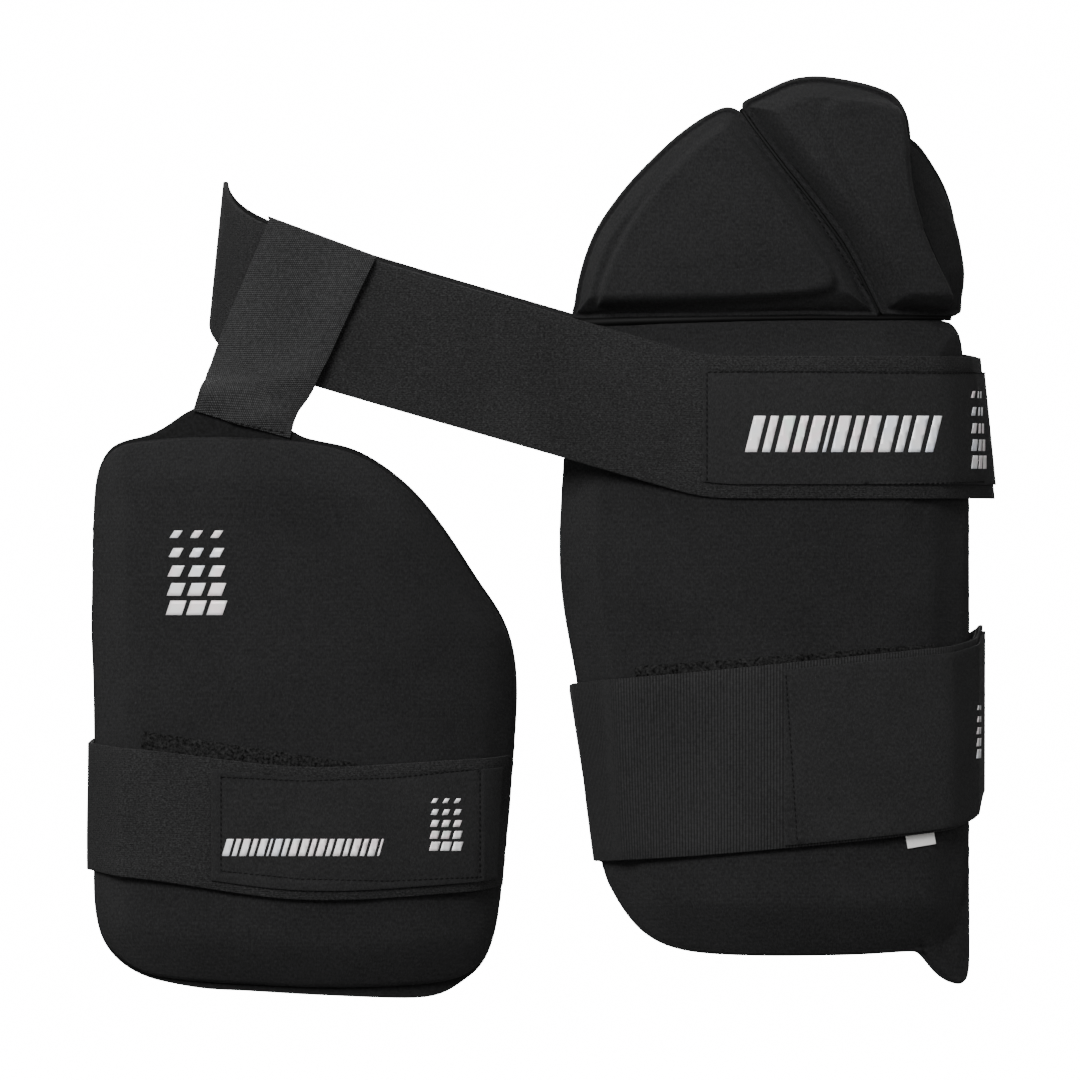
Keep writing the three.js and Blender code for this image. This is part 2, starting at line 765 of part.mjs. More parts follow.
function legStrap({ route, width, level, form, pad, pile, segments, from, to, tucked }) {
  const centre = form.place(0, level, 0).setY(0);
  const [levels, widths] = [roundTrip(route, "level"), roundTrip(route, "width")];
  const lift = (x) => {
    const beyond = Math.abs(x - pile.x) - pile.length / 2 - 4;
    return (pile_thickness + pile_lift) * (1 - ease(beyond / 8));
  };
  const behind = layer_gap + strap_thickness + strap_gap;
  const wrap = (z, turn) => {
    const leg = Array.from({ length: 96 }, (_, i) => form.place((i / 48) * Math.PI, z, 0));
    return hullOf([...leg, ...(turn < tucked ? liningEdge(pad, z, behind) : padSection(pad, z, lift))]);
  };
  const turns = evenTurns(wrap(level, to), centre, from, to, segments + 1);
  return {
    turns,
    top: strap_gap + strap_thickness,
    grid: strapGrid({
      turns,
      centre,
      levelAt: (turn) => level + levels(turn) * width,
      widthAt: (turn) => widths(turn) * width,
      wrap,
    }),
  };
}

// A strap's solid. A closed one leaves out its last row, which is its first again.
function strapSolid({ grid, top }, closed) {
  const [inner, outer] = [strap_gap, top].map((out) => grid(out).slice(0, closed ? -1 : undefined));
  return slabSolid(inner, outer, closed);
}

// A flat patch laid on a pad's front, its corners given as x and z in the front view.
function layOnPad(pad, { x, z, length, width, tilt, lift, thickness, rows, columns }) {
  const spot = (u, v, out) => {
    const [along, across] = [(u - 0.5) * length, (v - 0.5) * width];
    const px = x + along * Math.cos(tilt) - across * Math.sin(tilt);
    const pz = z + along * Math.sin(tilt) + across * Math.cos(tilt);
    return pad.place(px, pz, pad.front(px, pz) + out);
  };
  const grid = (out) =>
    Array.from({ length: rows }, (_, i) =>
      Array.from({ length: columns }, (_, j) => spot(i / (rows - 1), j / (columns - 1), out)),
    );
  return slabSolid(grid(lift), grid(lift + thickness));
}

const degrees = (angle) => (angle * Math.PI) / 180;
const outer_leg = ovalForm({
  x: outer_leg_x,
  half_width: outer_leg_half_width,
  half_depth: outer_leg_half_depth,
  level: outer_leg_level,
  lean: leg_lean,
  taper: leg_taper,
});
const thigh_pile = {
  x: outer_axis_x + 0.06 * outer_half_width,
  z: thigh_strap_level + 0.344 * thigh_strap_width,
  length: 1.34 * outer_half_width,
  width: 0.52 * thigh_strap_width,
  tilt: degrees(4.6),
};
const thigh_strap = legStrap({
  route: thigh_strap_route,
  width: thigh_strap_width,
  level: thigh_strap_level,
  form: outer_leg,
  pad: outer_pad,
  pile: thigh_pile,
  segments: 60,
  from: -Math.PI,
  to: Math.PI,
  tucked: -Infinity,
});
const inner_leg = ovalForm({
  x: inner_leg_x,
  half_width: inner_leg_half_width,
  half_depth: inner_leg_half_depth,
  level: inner_bottom + inner_height / 3,
  taper: leg_taper / 2,
});
const inner_pile = {
  x: inner_axis_x - 0.27 * inner_half_width,
  z: inner_strap_level + 0.245 * inner_strap_width,
  length: 0.945 * inner_half_width,
  width: 0.81 * inner_strap_width,
  tilt: degrees(-9),
};
const inner_strap = legStrap({
  route: inner_strap_route,
  width: inner_strap_width,
  level: inner_strap_level,
  form: inner_leg,
  pad: inner_pad,
  pile: inner_pile,
  segments: 60,
  from: degrees(-295),
  to: degrees(62),
  tucked: degrees(-240),
});
guard.add(meshOf("thigh_strap", strapSolid(thigh_strap, true), elastic_cloth));
guard.add(meshOf("inner_strap", strapSolid(inner_strap, false), elastic_cloth));
const thigh_panel = strapPanel(thigh_strap, { from: 0, to: degrees(112), low: -0.97, high: 0.93 });
const inner_panel = strapPanel(inner_strap, {
  from: degrees(-23),
  to: degrees(57),
  low: -0.86,
  high: 0.84,
});
guard.add(meshOf("thigh_strap_panel", thigh_panel, panel_cloth));
guard.add(meshOf("inner_strap_panel", inner_panel, panel_cloth));
const pile_grid = { lift: pile_lift, thickness: pile_thickness, rows: 12, columns: 5 };
guard.add(meshOf("thigh_pile", layOnPad(outer_pad, { ...thigh_pile, ...pile_grid }), pile_cloth));
guard.add(meshOf("inner_pile", layOnPad(inner_pad, { ...inner_pile, ...pile_grid }), pile_cloth));

// Waist belt, with its sewn panel
function beltLevel(x, y) {
  const rise = belt_kink_softness * Math.log1p(Math.exp((belt_kink_x - x) / belt_kink_softness));
  const hip = x < 0 && Math.abs(y) < belt_hip_rise_depth;
  const bump = hip ? Math.cos((Math.PI / 2) * (y / belt_hip_rise_depth)) ** 2 : 0;
  return belt_level + belt_slope * rise + belt_hip_rise * bump + belt_rear_lift * ease(y / waist_half_depth);
}
const waist_centre = new THREE.Vector3(waist_shift, 0, 0);
const beltLevelAt = (turn) => {
  const direction = new THREE.Vector3(Math.sin(turn), -Math.cos(turn), 0);
  const reach = reachTo(waistWrap(belt_level), waist_centre, direction, ["x", "y"]);
  return beltLevel(waist_centre.x + reach * direction.x, reach * direction.y);
};
function waistWrap(z) {
  const half_width = waist_half_width - waist_flare * z;
  const power = (value) => Math.sign(value) * Math.abs(value) ** (2 / waist_squareness);
  const waist = Array.from({ length: 144 }, (_, i) => {
    const turn = (i / 72) * Math.PI;
    return new THREE.Vector3(
      waist_shift + half_width * power(Math.sin(turn)),
      -waist_half_depth * power(Math.cos(turn)),
      z,
    );
  });
  return hullOf([...waist, ...padSection(outer_pad, Math.min(z, outer_top - pad_bevel))]);
}
const belt_turns = evenTurns(waistWrap(belt_level), waist_centre, -Math.PI, Math.PI, 89);
const waist_belt = {
  turns: belt_turns,
  top: strap_gap + belt_thickness,
  grid: strapGrid({
    turns: belt_turns,
    centre: waist_centre,
    levelAt: beltLevelAt,
    widthAt: () => belt_width,
    wrap: waistWrap,
  }),
};
guard.add(meshOf("waist_belt", strapSolid(waist_belt, true), elastic_cloth));
const belt_panel = strapPanel(waist_belt, {
  from: degrees(27),
  to: degrees(105),
  low: -0.8,
  high: 0.79,
});
guard.add(meshOf("waist_belt_panel", belt_panel, panel_cloth));

// Care label, hung from the thigh strap's lower edge
const care_label = layOnPad(outer_pad, {
  x: outer_axis_x + 0.647 * outer_half_width,
  z: thigh_strap_level - 0.383 * thigh_strap_width,
  length: label_width,
  width: label_drop,
  tilt: degrees(10),
  lift: pile_lift,
  thickness: label_thickness,
  rows: 4,
  columns: 3,
});
guard.add(meshOf("care_label", care_label, label_cloth));

// Hanger strap: a strip folded over the belt's upper edge, whose two ends hold the inner guard's
// tab between them. across is a share of its width from its foot's left end, up of its drop.
const hanger_edges = [
  { left: 0, left_up: 0, right: 0.98, right_up: -0.138 },
  { left: 0.16, left_up: 0.22, right: 1.06, right_up: -0.01 },
  { left: 0.31, left_up: 0.43, right: 1.25, right_up: 0.13 },
  { left: 0.54, left_up: 0.72, right: 1.53, right_up: 0.46 },
  { left: 0.766, left_up: 1, right: 1.815, right_up: 0.79 },
];
const on_tab = 0.1;
const under_belt = 0.37;
const fold_rise = 0.3;
const hanger_path = [
  ...[0, on_tab, 0.19, 0.28, under_belt, 0.53, 0.69, 0.85, 1].map((share) => ({ share, fold: 0 })),
  ...[45, 90, 135].map((fold) => ({ share: 1, fold })),
  ...[1, 0.85, 0.69, 0.53, under_belt, 0.28, 0.19, on_tab, 0].map((share) => ({ share, fold: 180 })),
];
const edgeLine = (side) =>
  new THREE.CatmullRomCurve3(
    hanger_edges.map(
      (row) =>
        new THREE.Vector3(
          hanger_foot_x + row[side] * hanger_width,
          0,
          hanger_foot_z + row[`${side}_up`] * hanger_drop,
        ),
    ),
  );
const [hanger_left, hanger_right] = ["left", "right"].map(edgeLine);
const hangerGrid = (far) =>
  hanger_path.map(({ share, fold }) =>
    Array.from({ length: 8 }, (_, column) => {
      const across = (column / 7) ** 1.6;
      const spot = hanger_left.getPoint(share).lerp(hanger_right.getPoint(share), across);
      const radius = belt_thickness / 2 + hanger_gap + far;
      const out = strap_gap + belt_thickness / 2 + radius * Math.cos(degrees(fold));
      const rise = fold > 0 && fold < 180 ? fold_rise + radius * Math.sin(degrees(fold)) : 0;
      const on_belt = hullFront(grown(waistWrap(spot.z), out), spot.x).setZ(spot.z + rise);
      const tab_out = fold ? -hanger_tab_gap - far : backing_thickness + hanger_tab_gap + far;
      const tab = inner_pad.place(spot.x, spot.z, tab_out);
      return tab.lerp(on_belt, ease((share - on_tab) / (under_belt - on_tab)));
    }),
  );
const hanger_strap = slabSolid(hangerGrid(0), hangerGrid(hanger_thickness));
guard.add(meshOf("hanger_strap", hanger_strap, webbing_cloth));

export default guard;
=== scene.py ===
# Dresses a two-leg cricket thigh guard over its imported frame: cloth, elastic, stitching and prints.
import json
import math
import random

import bmesh
import bpy
import numpy as np
from mathutils import Matrix, Vector, noise
from mathutils.bvhtree import BVHTree
from mathutils.kdtree import KDTree


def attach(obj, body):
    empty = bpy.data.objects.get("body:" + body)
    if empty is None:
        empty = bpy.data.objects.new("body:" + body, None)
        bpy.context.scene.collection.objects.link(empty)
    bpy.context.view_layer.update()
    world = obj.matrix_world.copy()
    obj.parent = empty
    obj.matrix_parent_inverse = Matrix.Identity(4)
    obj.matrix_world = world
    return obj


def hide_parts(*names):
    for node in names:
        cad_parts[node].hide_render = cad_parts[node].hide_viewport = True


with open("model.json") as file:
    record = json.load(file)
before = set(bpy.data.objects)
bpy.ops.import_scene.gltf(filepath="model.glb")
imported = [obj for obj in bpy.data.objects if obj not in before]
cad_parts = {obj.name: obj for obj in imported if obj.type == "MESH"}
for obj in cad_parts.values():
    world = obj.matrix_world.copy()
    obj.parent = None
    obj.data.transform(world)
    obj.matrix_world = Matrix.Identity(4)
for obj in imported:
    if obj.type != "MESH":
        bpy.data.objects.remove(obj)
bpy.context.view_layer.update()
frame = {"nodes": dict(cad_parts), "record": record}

MM = 0.001
CAMERA_SPOT = Vector((-0.0312, -9.45, -0.0728))

# The photograph's pixels in the frame: their size, the pixel over the origin and the plane they lie on
PIXEL = 0.52 * MM
ZERO_X, ZERO_Y = 600, 400
PHOTO_PLANE = -0.09

FLOOR_LEVEL = -0.42
FLOOR_SIZE = 30
WALL_PLACE = 14
LIGHT_AIM = (0, 0, -0.05)


# Camera, floor and light
def place_camera():
    lens = bpy.data.cameras.new("photo_camera")
    lens.lens = 600
    lens.sensor_width = 36
    camera = add_object("photo_camera", lens)
    camera.location = CAMERA_SPOT
    camera.rotation_euler = (math.radians(90), 0, 0)
    bpy.context.scene.camera = camera


def place_stage():
    deselect()
    bpy.ops.mesh.primitive_plane_add(size=FLOOR_SIZE, location=(0, 0, FLOOR_LEVEL))
    floor = bpy.context.object
    floor.name = "studio_floor"
    choose_edges(floor, lambda edge: all(v.co.y > WALL_PLACE for v in edge.verts))
    bpy.ops.mesh.extrude_region_move(TRANSFORM_OT_translate={"value": (0, 0, WALL_PLACE)})
    bpy.ops.object.mode_set(mode="OBJECT")
    bend = floor.modifiers.new("sweep", "BEVEL")
    bend.width = 1.2
    bend.segments = 24
    apply_modifiers(floor)
    bpy.ops.object.shade_smooth()
    paper, tree, shader = new_material("studio_paper")
    shader.inputs["Base Color"].default_value = (0.3, 0.3, 0.3, 1)
    shader.inputs["Roughness"].default_value = 0.9
    shader.inputs["Specular IOR Level"].default_value = 0.1
    shader.inputs["Emission Color"].default_value = (1, 1, 1, 1)
    rays = tree.nodes.new("ShaderNodeLightPath")
    glow = times(tree, rays.outputs["Is Camera Ray"], 16)
    tree.links.new(glow, shader.inputs["Emission Strength"])
    floor.data.materials.append(paper)


def place_light(name, place, aim, size, power):
    lamp = bpy.data.lights.new(name, "AREA")
    lamp.shape = "RECTANGLE"
    lamp.size, lamp.size_y = size
    lamp.energy = power
    light = add_object(name, lamp)
    light.location = place
    light.rotation_euler = (Vector(aim) - Vector(place)).to_track_quat("-Z", "Y").to_euler()


def place_lights():
    world = bpy.data.worlds.new("studio_air")
    world.use_nodes = True
    air = world.node_tree
    background = air.nodes["Background"]
    background.inputs["Color"].default_value = (1, 1, 1, 1)
    rays = air.nodes.new("ShaderNodeLightPath")
    seen = times(air, rays.outputs["Is Camera Ray"], 12)
    air.links.new(plus(air, seen, 0.26), background.inputs["Strength"])
    bpy.context.scene.world = world
    place_light("key_light", (-1.2, -2.9, 1.5), LIGHT_AIM, (1.6, 1.2), 132)
    place_light("fill_light", (1.3, -2.8, 0.7), LIGHT_AIM, (1.2, 1.2), 14)
    place_light("top_light", (0.1, -0.6, 2.4), (0, 0, 0), (1.6, 1.0), 18)
    place_light("back_light", (0.0, 2.6, 0.6), LIGHT_AIM, (2.0, 1.4), 18)


# Making and finishing pieces
def deselect():
    for each in list(bpy.context.selected_objects):
        each.select_set(False)


def pick(piece):
    deselect()
    piece.select_set(True)
    bpy.context.view_layer.objects.active = piece


def choose_edges(piece, wanted):
    """Opens a piece for editing with only the wanted edges selected."""
    pick(piece)
    bpy.ops.object.mode_set(mode="EDIT")
    bpy.ops.mesh.select_mode(type="EDGE")
    bpy.ops.mesh.select_all(action="DESELECT")
    mesh = bmesh.from_edit_mesh(piece.data)
    for edge in mesh.edges:
        edge.select_set(wanted(edge))
    bmesh.update_edit_mesh(piece.data)


def apply_modifiers(piece):
    pick(piece)
    for modifier in list(piece.modifiers):
        bpy.ops.object.modifier_apply(modifier=modifier.name)


def read(piece, what="co"):
    spots = np.empty(len(piece.data.vertices) * 3)
    piece.data.vertices.foreach_get(what, spots)
    return spots.reshape(-1, 3)


def write(piece, spots):
    piece.data.vertices.foreach_set("co", spots.ravel())
    piece.data.update()


def add_object(name, data):
    added = bpy.data.objects.new(name, data)
    bpy.context.scene.collection.objects.link(added)
    return added


def add_mesh(name, spots, corners):
    mesh = bpy.data.meshes.new(name)
    mesh.from_pydata(spots, [], corners)
    return add_object(name, mesh)


def face_outward(piece):
    pick(piece)
    bpy.ops.object.mode_set(mode="EDIT")
    bpy.ops.mesh.select_all(action="SELECT")
    bpy.ops.mesh.normals_make_consistent(inside=False)
    bpy.ops.object.mode_set(mode="OBJECT")
    return piece


def nearest_in(spots):
    """A search tree over spots, to find the nearest one by its number."""
    tree = KDTree(len(spots))
    for i, spot in enumerate(spots):
        tree.insert(spot, i)
    tree.balance()
    return tree


def copy_of(node, name):
    """A copy of a frame node with its doubles merged and its triangles joined to quads."""
    piece = add_object(name, frame["nodes"][node].data.copy())
    piece.data.name = name
    piece.data.materials.clear()
    mesh = bmesh.new()
    mesh.from_mesh(piece.data)
    bmesh.ops.remove_doubles(mesh, verts=mesh.verts, dist=2e-6)
    bmesh.ops.join_triangles(
        mesh,
        faces=mesh.faces,
        angle_face_threshold=math.radians(50),
        angle_shape_threshold=math.radians(90),
    )
    mesh.to_mesh(piece.data)
    mesh.free()
    return piece


def crease(piece, over):
    mesh = bmesh.new()
    mesh.from_mesh(piece.data)
    layer = mesh.edges.layers.float.new("crease_edge")
    for edge in mesh.edges:
        if len(edge.link_faces) == 2 and edge.calc_face_angle() > math.radians(over):
            edge[layer] = 1
    mesh.to_mesh(piece.data)
    mesh.free()


def round_out(piece, levels, over=70, rounds=3):
    """Subdivides a piece smoothly, so that its surface still runs through its own points."""
    crease(piece, over)
    wanted = read(piece)
    smooth = piece.modifiers.new("smooth", "SUBSURF")
    smooth.levels = smooth.render_levels = 1
    for _ in range(rounds):
        shown = piece.evaluated_get(bpy.context.evaluated_depsgraph_get())
        write(piece, read(piece) + wanted - read(shown)[: len(wanted)])
    smooth.levels = smooth.render_levels = levels
    apply_modifiers(piece)


def soften_edges(piece, width, segments=2, over=60):
    bevel = piece.modifiers.new("soft_edge", "BEVEL")
    bevel.width = width
    bevel.segments = segments
    bevel.limit_method = "ANGLE"
    bevel.angle_limit = math.radians(over)
    apply_modifiers(piece)


def finish_piece(piece, slot, material, *nodes):
    piece.data.materials.clear()
    piece.data.materials.append(material)
    piece.data.shade_smooth()
    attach(piece, "root")
    if nodes:
        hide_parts(*nodes)
    return piece


def lay_flat(piece, across, up, girth=0.0):
    """Gives a piece a map in metres, across and up its cloth, with no face torn where a loop closes."""
    layer = piece.data.uv_layers.new(name="cloth_run")
    for face in piece.data.polygons:
        first = across[face.vertices[0]]
        for loop, corner in zip(face.loop_indices, face.vertices):
            place = across[corner]
            if girth:
                place += round((first - place) / girth) * girth
            layer.data[loop].uv = (place, up[corner])


def lay_loop_flat(piece, centre):
    """Maps a strap by its true run round its loop."""
    spots = read(piece)
    turns = np.arctan2(spots[:, 0] - centre[0], centre[1] - spots[:, 1])
    reach = np.hypot(spots[:, 0] - centre[0], spots[:, 1] - centre[1])
    bins = 360
    slots_in = ((turns + math.pi) / math.tau * bins).astype(int) % bins
    found = [i for i in range(bins) if (slots_in == i).any()]
    middles = np.array([(i + 0.5) * math.tau / bins - math.pi for i in found])
    mean = np.array([reach[slots_in == i].mean() for i in found])
    line = np.stack([mean * np.sin(middles), mean * np.cos(middles)], axis=1)
    steps = np.hypot(*(np.roll(line, -1, axis=0) - line).T)
    run = np.concatenate([[0], np.cumsum(steps)])
    whole = found[-1] - found[0] > bins * 0.97
    turn_marks = np.append(middles, middles[0] + math.tau)
    wrapped = np.where(turns < middles[0], turns + math.tau, turns)
    across = np.interp(wrapped, turn_marks, run)
    lay_flat(piece, across, spots[:, 2], run[-1] if whole else 0.0)


# Shader groups for cloth
def new_group(name, inputs, outputs):
    group = bpy.data.node_groups.new(name, "ShaderNodeTree")
    for label, value in inputs:
        socket = group.interface.new_socket(name=label, in_out="INPUT", socket_type="NodeSocketFloat")
        socket.default_value = value
    for label in outputs:
        group.interface.new_socket(name=label, in_out="OUTPUT", socket_type="NodeSocketFloat")
    return group, group.nodes.new("NodeGroupInput"), group.nodes.new("NodeGroupOutput")


def feed(tree, socket, value):
    if isinstance(value, (int, float)):
        socket.default_value = value
    else:
        tree.links.new(value, socket)


def calc(tree, operation, *values):
    node = tree.nodes.new("ShaderNodeMath")
    node.operation = operation
    for socket, value in zip(node.inputs, values):
        feed(tree, socket, value)
    return node.outputs[0]


def times(tree, first, second):
    return calc(tree, "MULTIPLY", first, second)


def plus(tree, first, second):
    return calc(tree, "ADD", first, second)


def minus(tree, first, second):
    return calc(tree, "SUBTRACT", first, second)


def sine(tree, value):
    return calc(tree, "SINE", value)


def cloth_run(tree):
    """Where a point lies across and up its cloth, in metres."""
    node = tree.nodes.new("ShaderNodeUVMap")
    node.uv_map = "cloth_run"
    parts = tree.nodes.new("ShaderNodeSeparateXYZ")
    tree.links.new(node.outputs[0], parts.inputs[0])
    return parts.outputs[0], parts.outputs[1]


def joined(tree, x, y):
    node = tree.nodes.new("ShaderNodeCombineXYZ")
    for socket, value in zip(node.inputs, (x, y)):
        feed(tree, socket, value)
    return node.outputs[0]


def counted(tree, length, pitch):
    """A length in metres, as a count of pitches that are given in millimetres."""
    return calc(tree, "DIVIDE", times(tree, length, 1000), pitch)


def speckle(tree, vector, scale, detail=2.0, rough=0.5):
    node = tree.nodes.new("ShaderNodeTexNoise")
    node.inputs["Scale"].default_value = scale
    node.inputs["Detail"].default_value = detail
    node.inputs["Roughness"].default_value = rough
    tree.links.new(vector, node.inputs["Vector"])
    return node.outputs["Fac"]


def object_spot(tree):
    return tree.nodes.new("ShaderNodeTexCoord").outputs["Object"]


def knit_group():
    """Fine jersey: upright wales of small V loops."""
    tree, start, end = new_group("fine_knit", [("Wale", 0.9), ("Course", 0.7)], ["Height", "Yarn_Tone_And_Painted_Shade"])
    across, up = cloth_run(tree)
    wale = counted(tree, across, start.outputs["Wale"])
    course = counted(tree, up, start.outputs["Course"])
    side = calc(tree, "ABSOLUTE", minus(tree, calc(tree, "FRACT", wale), 0.5))
    loop = calc(tree, "FRACT", plus(tree, course, times(tree, side, 0.9)))
    arch = sine(tree, times(tree, loop, math.pi))
    leg = sine(tree, times(tree, side, math.tau))
    height = times(tree, calc(tree, "POWER", arch, 0.6), plus(tree, leg, 0.35))
    yarn = speckle(tree, joined(tree, wale, times(tree, course, 0.3)), 1.3)
    tree.links.new(height, end.inputs["Height"])
    # Painted shade: the colour is darker in the hollows between the loops and lighter on their tops,
    # times a random yarn tone.
    shade = times(tree, plus(tree, height, 0.4), yarn)
    tree.links.new(shade, end.inputs["Yarn_Tone_And_Painted_Shade"])
    return tree


def grain_group():
    """Woven elastic: short grainy picks across fine upright cords."""
    inputs = [("Pitch", 1.0), ("Unevenness", 0.6)]
    tree, start, end = new_group("elastic_grain", inputs, ["Height", "Yarn_Tone_And_Painted_Shade"])
    across, up = cloth_run(tree)
    run = counted(tree, across, start.outputs["Pitch"])
    rise = counted(tree, up, start.outputs["Pitch"])
    cord = sine(tree, times(tree, run, math.tau))
    shift = times(tree, calc(tree, "FLOOR", times(tree, run, 2)), 0.5)
    pick_wave = sine(tree, times(tree, plus(tree, rise, shift), math.tau))
    weave = times(tree, plus(tree, times(tree, cord, pick_wave), 1), 0.5)
    grit = speckle(tree, joined(tree, run, times(tree, rise, 1.3)), 0.9, 4.0, 0.7)
    rough = times(tree, minus(tree, grit, 0.5), start.outputs["Unevenness"])
    height = plus(tree, times(tree, weave, 0.22), times(tree, rough, 3.0))
    tree.links.new(height, end.inputs["Height"])
    # Painted shade: the colour is darker where the weave lies low and lighter on the raised picks, with
    # the random grit in it too.
    tree.links.new(plus(tree, height, 0.38), end.inputs["Yarn_Tone_And_Painted_Shade"])
    return tree


def rib_group():
    """Upright ribs, each tied down by its picks."""
    tree, start, end = new_group("upright_ribs", [("Pitch", 1.6)], ["Height", "Yarn_Tone_And_Painted_Shade"])
    across, up = cloth_run(tree)
    run = counted(tree, across, start.outputs["Pitch"])
    rise = times(tree, up, 1000 / 0.7)
    rib = calc(tree, "ABSOLUTE", sine(tree, times(tree, run, math.pi)))
    tie = sine(tree, times(tree, rise, math.tau))
    grit = speckle(tree, joined(tree, run, rise), 0.8, 3.0)
    height = plus(tree, calc(tree, "POWER", rib, 0.6), times(tree, tie, 0.13))
    tree.links.new(plus(tree, height, times(tree, grit, 0.3)), end.inputs["Height"])
    # Painted shade: the colour is darker in the grooves between the ribs and lighter on their tops,
    # times a random grit.
    tree.links.new(times(tree, height, plus(tree, grit, 0.35)), end.inputs["Yarn_Tone_And_Painted_Shade"])
    return tree


def twill_group():
    """Webbing woven as slanted floats of satin yarn."""
    tree, start, end = new_group("webbing_twill", [("Pitch", 1.1)], ["Height", "Yarn_Tone_And_Painted_Shade"])
    across, up = cloth_run(tree)
    run = counted(tree, across, start.outputs["Pitch"])
    rise = counted(tree, up, start.outputs["Pitch"])
    slant = calc(tree, "FRACT", plus(tree, run, times(tree, rise, 0.5)))
    float_rise = sine(tree, times(tree, slant, math.pi))
    cross = calc(tree, "ABSOLUTE", sine(tree, times(tree, rise, math.pi)))
    height = times(tree, plus(tree, float_rise, 0.3), plus(tree, cross, 0.4))
    grit = speckle(tree, joined(tree, run, rise), 0.5, 2.0)
    tree.links.new(height, end.inputs["Height"])
    # Painted shade: the colour is darker between the floats and lighter on their tops, times a random
    # grit.
    tree.links.new(times(tree, height, grit), end.inputs["Yarn_Tone_And_Painted_Shade"])
    return tree


def drift_group():
    """Slow changes of tone over a piece, and sparse pale lint."""
    inputs = [("Drift", 0.35), ("Heather", 1.0), ("Lint", 0.12)]
    tree, start, end = new_group("tone_drift", inputs, ["Tone", "Lint"])
    spot = object_spot(tree)
    broad = speckle(tree, spot, 22, 3.0, 0.55)
    heather = speckle(tree, spot, 650, 3.0, 0.7)
    fine = speckle(tree, spot, 900, 1.0)
    tone = times(tree, minus(tree, broad, 0.5), start.outputs["Drift"])
    uneven = times(tree, minus(tree, heather, 0.5), start.outputs["Heather"])
    slow = plus(tree, times(tree, tone, 2), 1)
    tree.links.new(plus(tree, slow, times(tree, uneven, 2)), end.inputs["Tone"])
    peak = times(tree, minus(tree, fine, 0.735), 12)
    peak = calc(tree, "MINIMUM", calc(tree, "MAXIMUM", peak, 0), 1)
    tree.links.new(times(tree, peak, start.outputs["Lint"]), end.inputs["Lint"])
    return tree


def place_group(tree, group, **values):
    node = tree.nodes.new("ShaderNodeGroup")
    node.node_tree = group
    for label, value in values.items():
        node.inputs[label].default_value = value
    return node


def new_material(name):
    material = bpy.data.materials.new(name)
    material.use_nodes = True
    return material, material.node_tree, material.node_tree.nodes["Principled BSDF"]


def add_ramp(tree, fac, marks):
    """Colours along a ramp, each with its place."""
    ramp = tree.nodes.new("ShaderNodeValToRGB")
    for i, (place, colour) in enumerate(marks):
        mark = ramp.color_ramp.elements[i] if i < 2 else ramp.color_ramp.elements.new(place)
        mark.position = place
        mark.color = (*colour, 1)
    tree.links.new(fac, ramp.inputs["Fac"])
    return ramp.outputs["Color"]


def add_bump(tree, shader, height, depth, strength):
    bump = tree.nodes.new("ShaderNodeBump")
    bump.inputs["Strength"].default_value = strength
    bump.inputs["Distance"].default_value = depth
    tree.links.new(height, bump.inputs["Height"])
    tree.links.new(bump.outputs["Normal"], shader.inputs["Normal"])


def cloth_material(name, weave, dark, light, rough, depth, sheen=0.03, gloss=0.12, **values):
    """A cloth with its weave's height, its colour painted darker in the weave's hollows as shade and
    lighter on the yarn tops, a slow drift of tone and a little lint.
    """
    material, tree, shader = new_material(name)
    woven = place_group(tree, weave, **values)
    tones = place_group(tree, GROUPS["drift"])
    # Painted shade from the weave's hollows, times the random drift of tone, sets the colour and the
    # roughness.
    tone_and_painted_shade = times(tree, woven.outputs["Yarn_Tone_And_Painted_Shade"], tones.outputs["Tone"])
    mix = tree.nodes.new("ShaderNodeMix")
    mix.data_type = "RGBA"
    mix.inputs["B"].default_value = (0.16, 0.16, 0.17, 1)
    tree.links.new(tones.outputs["Lint"], mix.inputs["Factor"])
    tree.links.new(add_ramp(tree, tone_and_painted_shade, [(0, dark), (1, light)]), mix.inputs["A"])
    tree.links.new(mix.outputs["Result"], shader.inputs["Base Color"])
    worn = minus(tree, rough + 0.1, times(tree, tone_and_painted_shade, 0.2))
    tree.links.new(worn, shader.inputs["Roughness"])
    add_bump(tree, shader, woven.outputs["Height"], depth, 0.9)
    shader.inputs["Specular IOR Level"].default_value = gloss
    shader.inputs["Sheen Weight"].default_value = sheen
    shader.inputs["Sheen Roughness"].default_value = 0.5
    return material


def soft_material(name, dark, light, rough, depth, scale, sheen=0.0, gloss=0.1):
    """Fuzz, brushed lining or thread, with an uneven grain on the object's own coordinates."""
    material, tree, shader = new_material(name)
    grain = speckle(tree, object_spot(tree), scale, 4.0, 0.65)
    colour = add_ramp(tree, grain, [(0.35, dark), (0.7, light)])
    tree.links.new(colour, shader.inputs["Base Color"])
    worn = plus(tree, rough - 0.1, times(tree, grain, 0.2))
    tree.links.new(worn, shader.inputs["Roughness"])
    add_bump(tree, shader, grain, depth, 0.8)
    shader.inputs["Specular IOR Level"].default_value = gloss
    shader.inputs["Sheen Weight"].default_value = sheen
    return material


def foil_material():
    """Silver transfer print with a faint rainbow cast."""
    material, tree, shader = new_material("silver_foil")
    cast = speckle(tree, object_spot(tree), 45, 2.0, 0.6)
    blue, silver = (0.86, 0.9, 1), (0.97, 0.97, 0.97)
    pink, green = (1, 0.88, 0.9), (0.84, 1, 0.9)
    colour = add_ramp(tree, cast, [(0.3, blue), (0.45, silver), (0.58, pink), (0.72, green)])
    tree.links.new(colour, shader.inputs["Base Color"])
    crinkle = speckle(tree, object_spot(tree), 1400)
    worn = plus(tree, 0.3, times(tree, crinkle, 0.2))
    tree.links.new(worn, shader.inputs["Roughness"])
    add_bump(tree, shader, crinkle, 0.03 * MM, 1.0)
    shader.inputs["Metallic"].default_value = 0.15
    return material


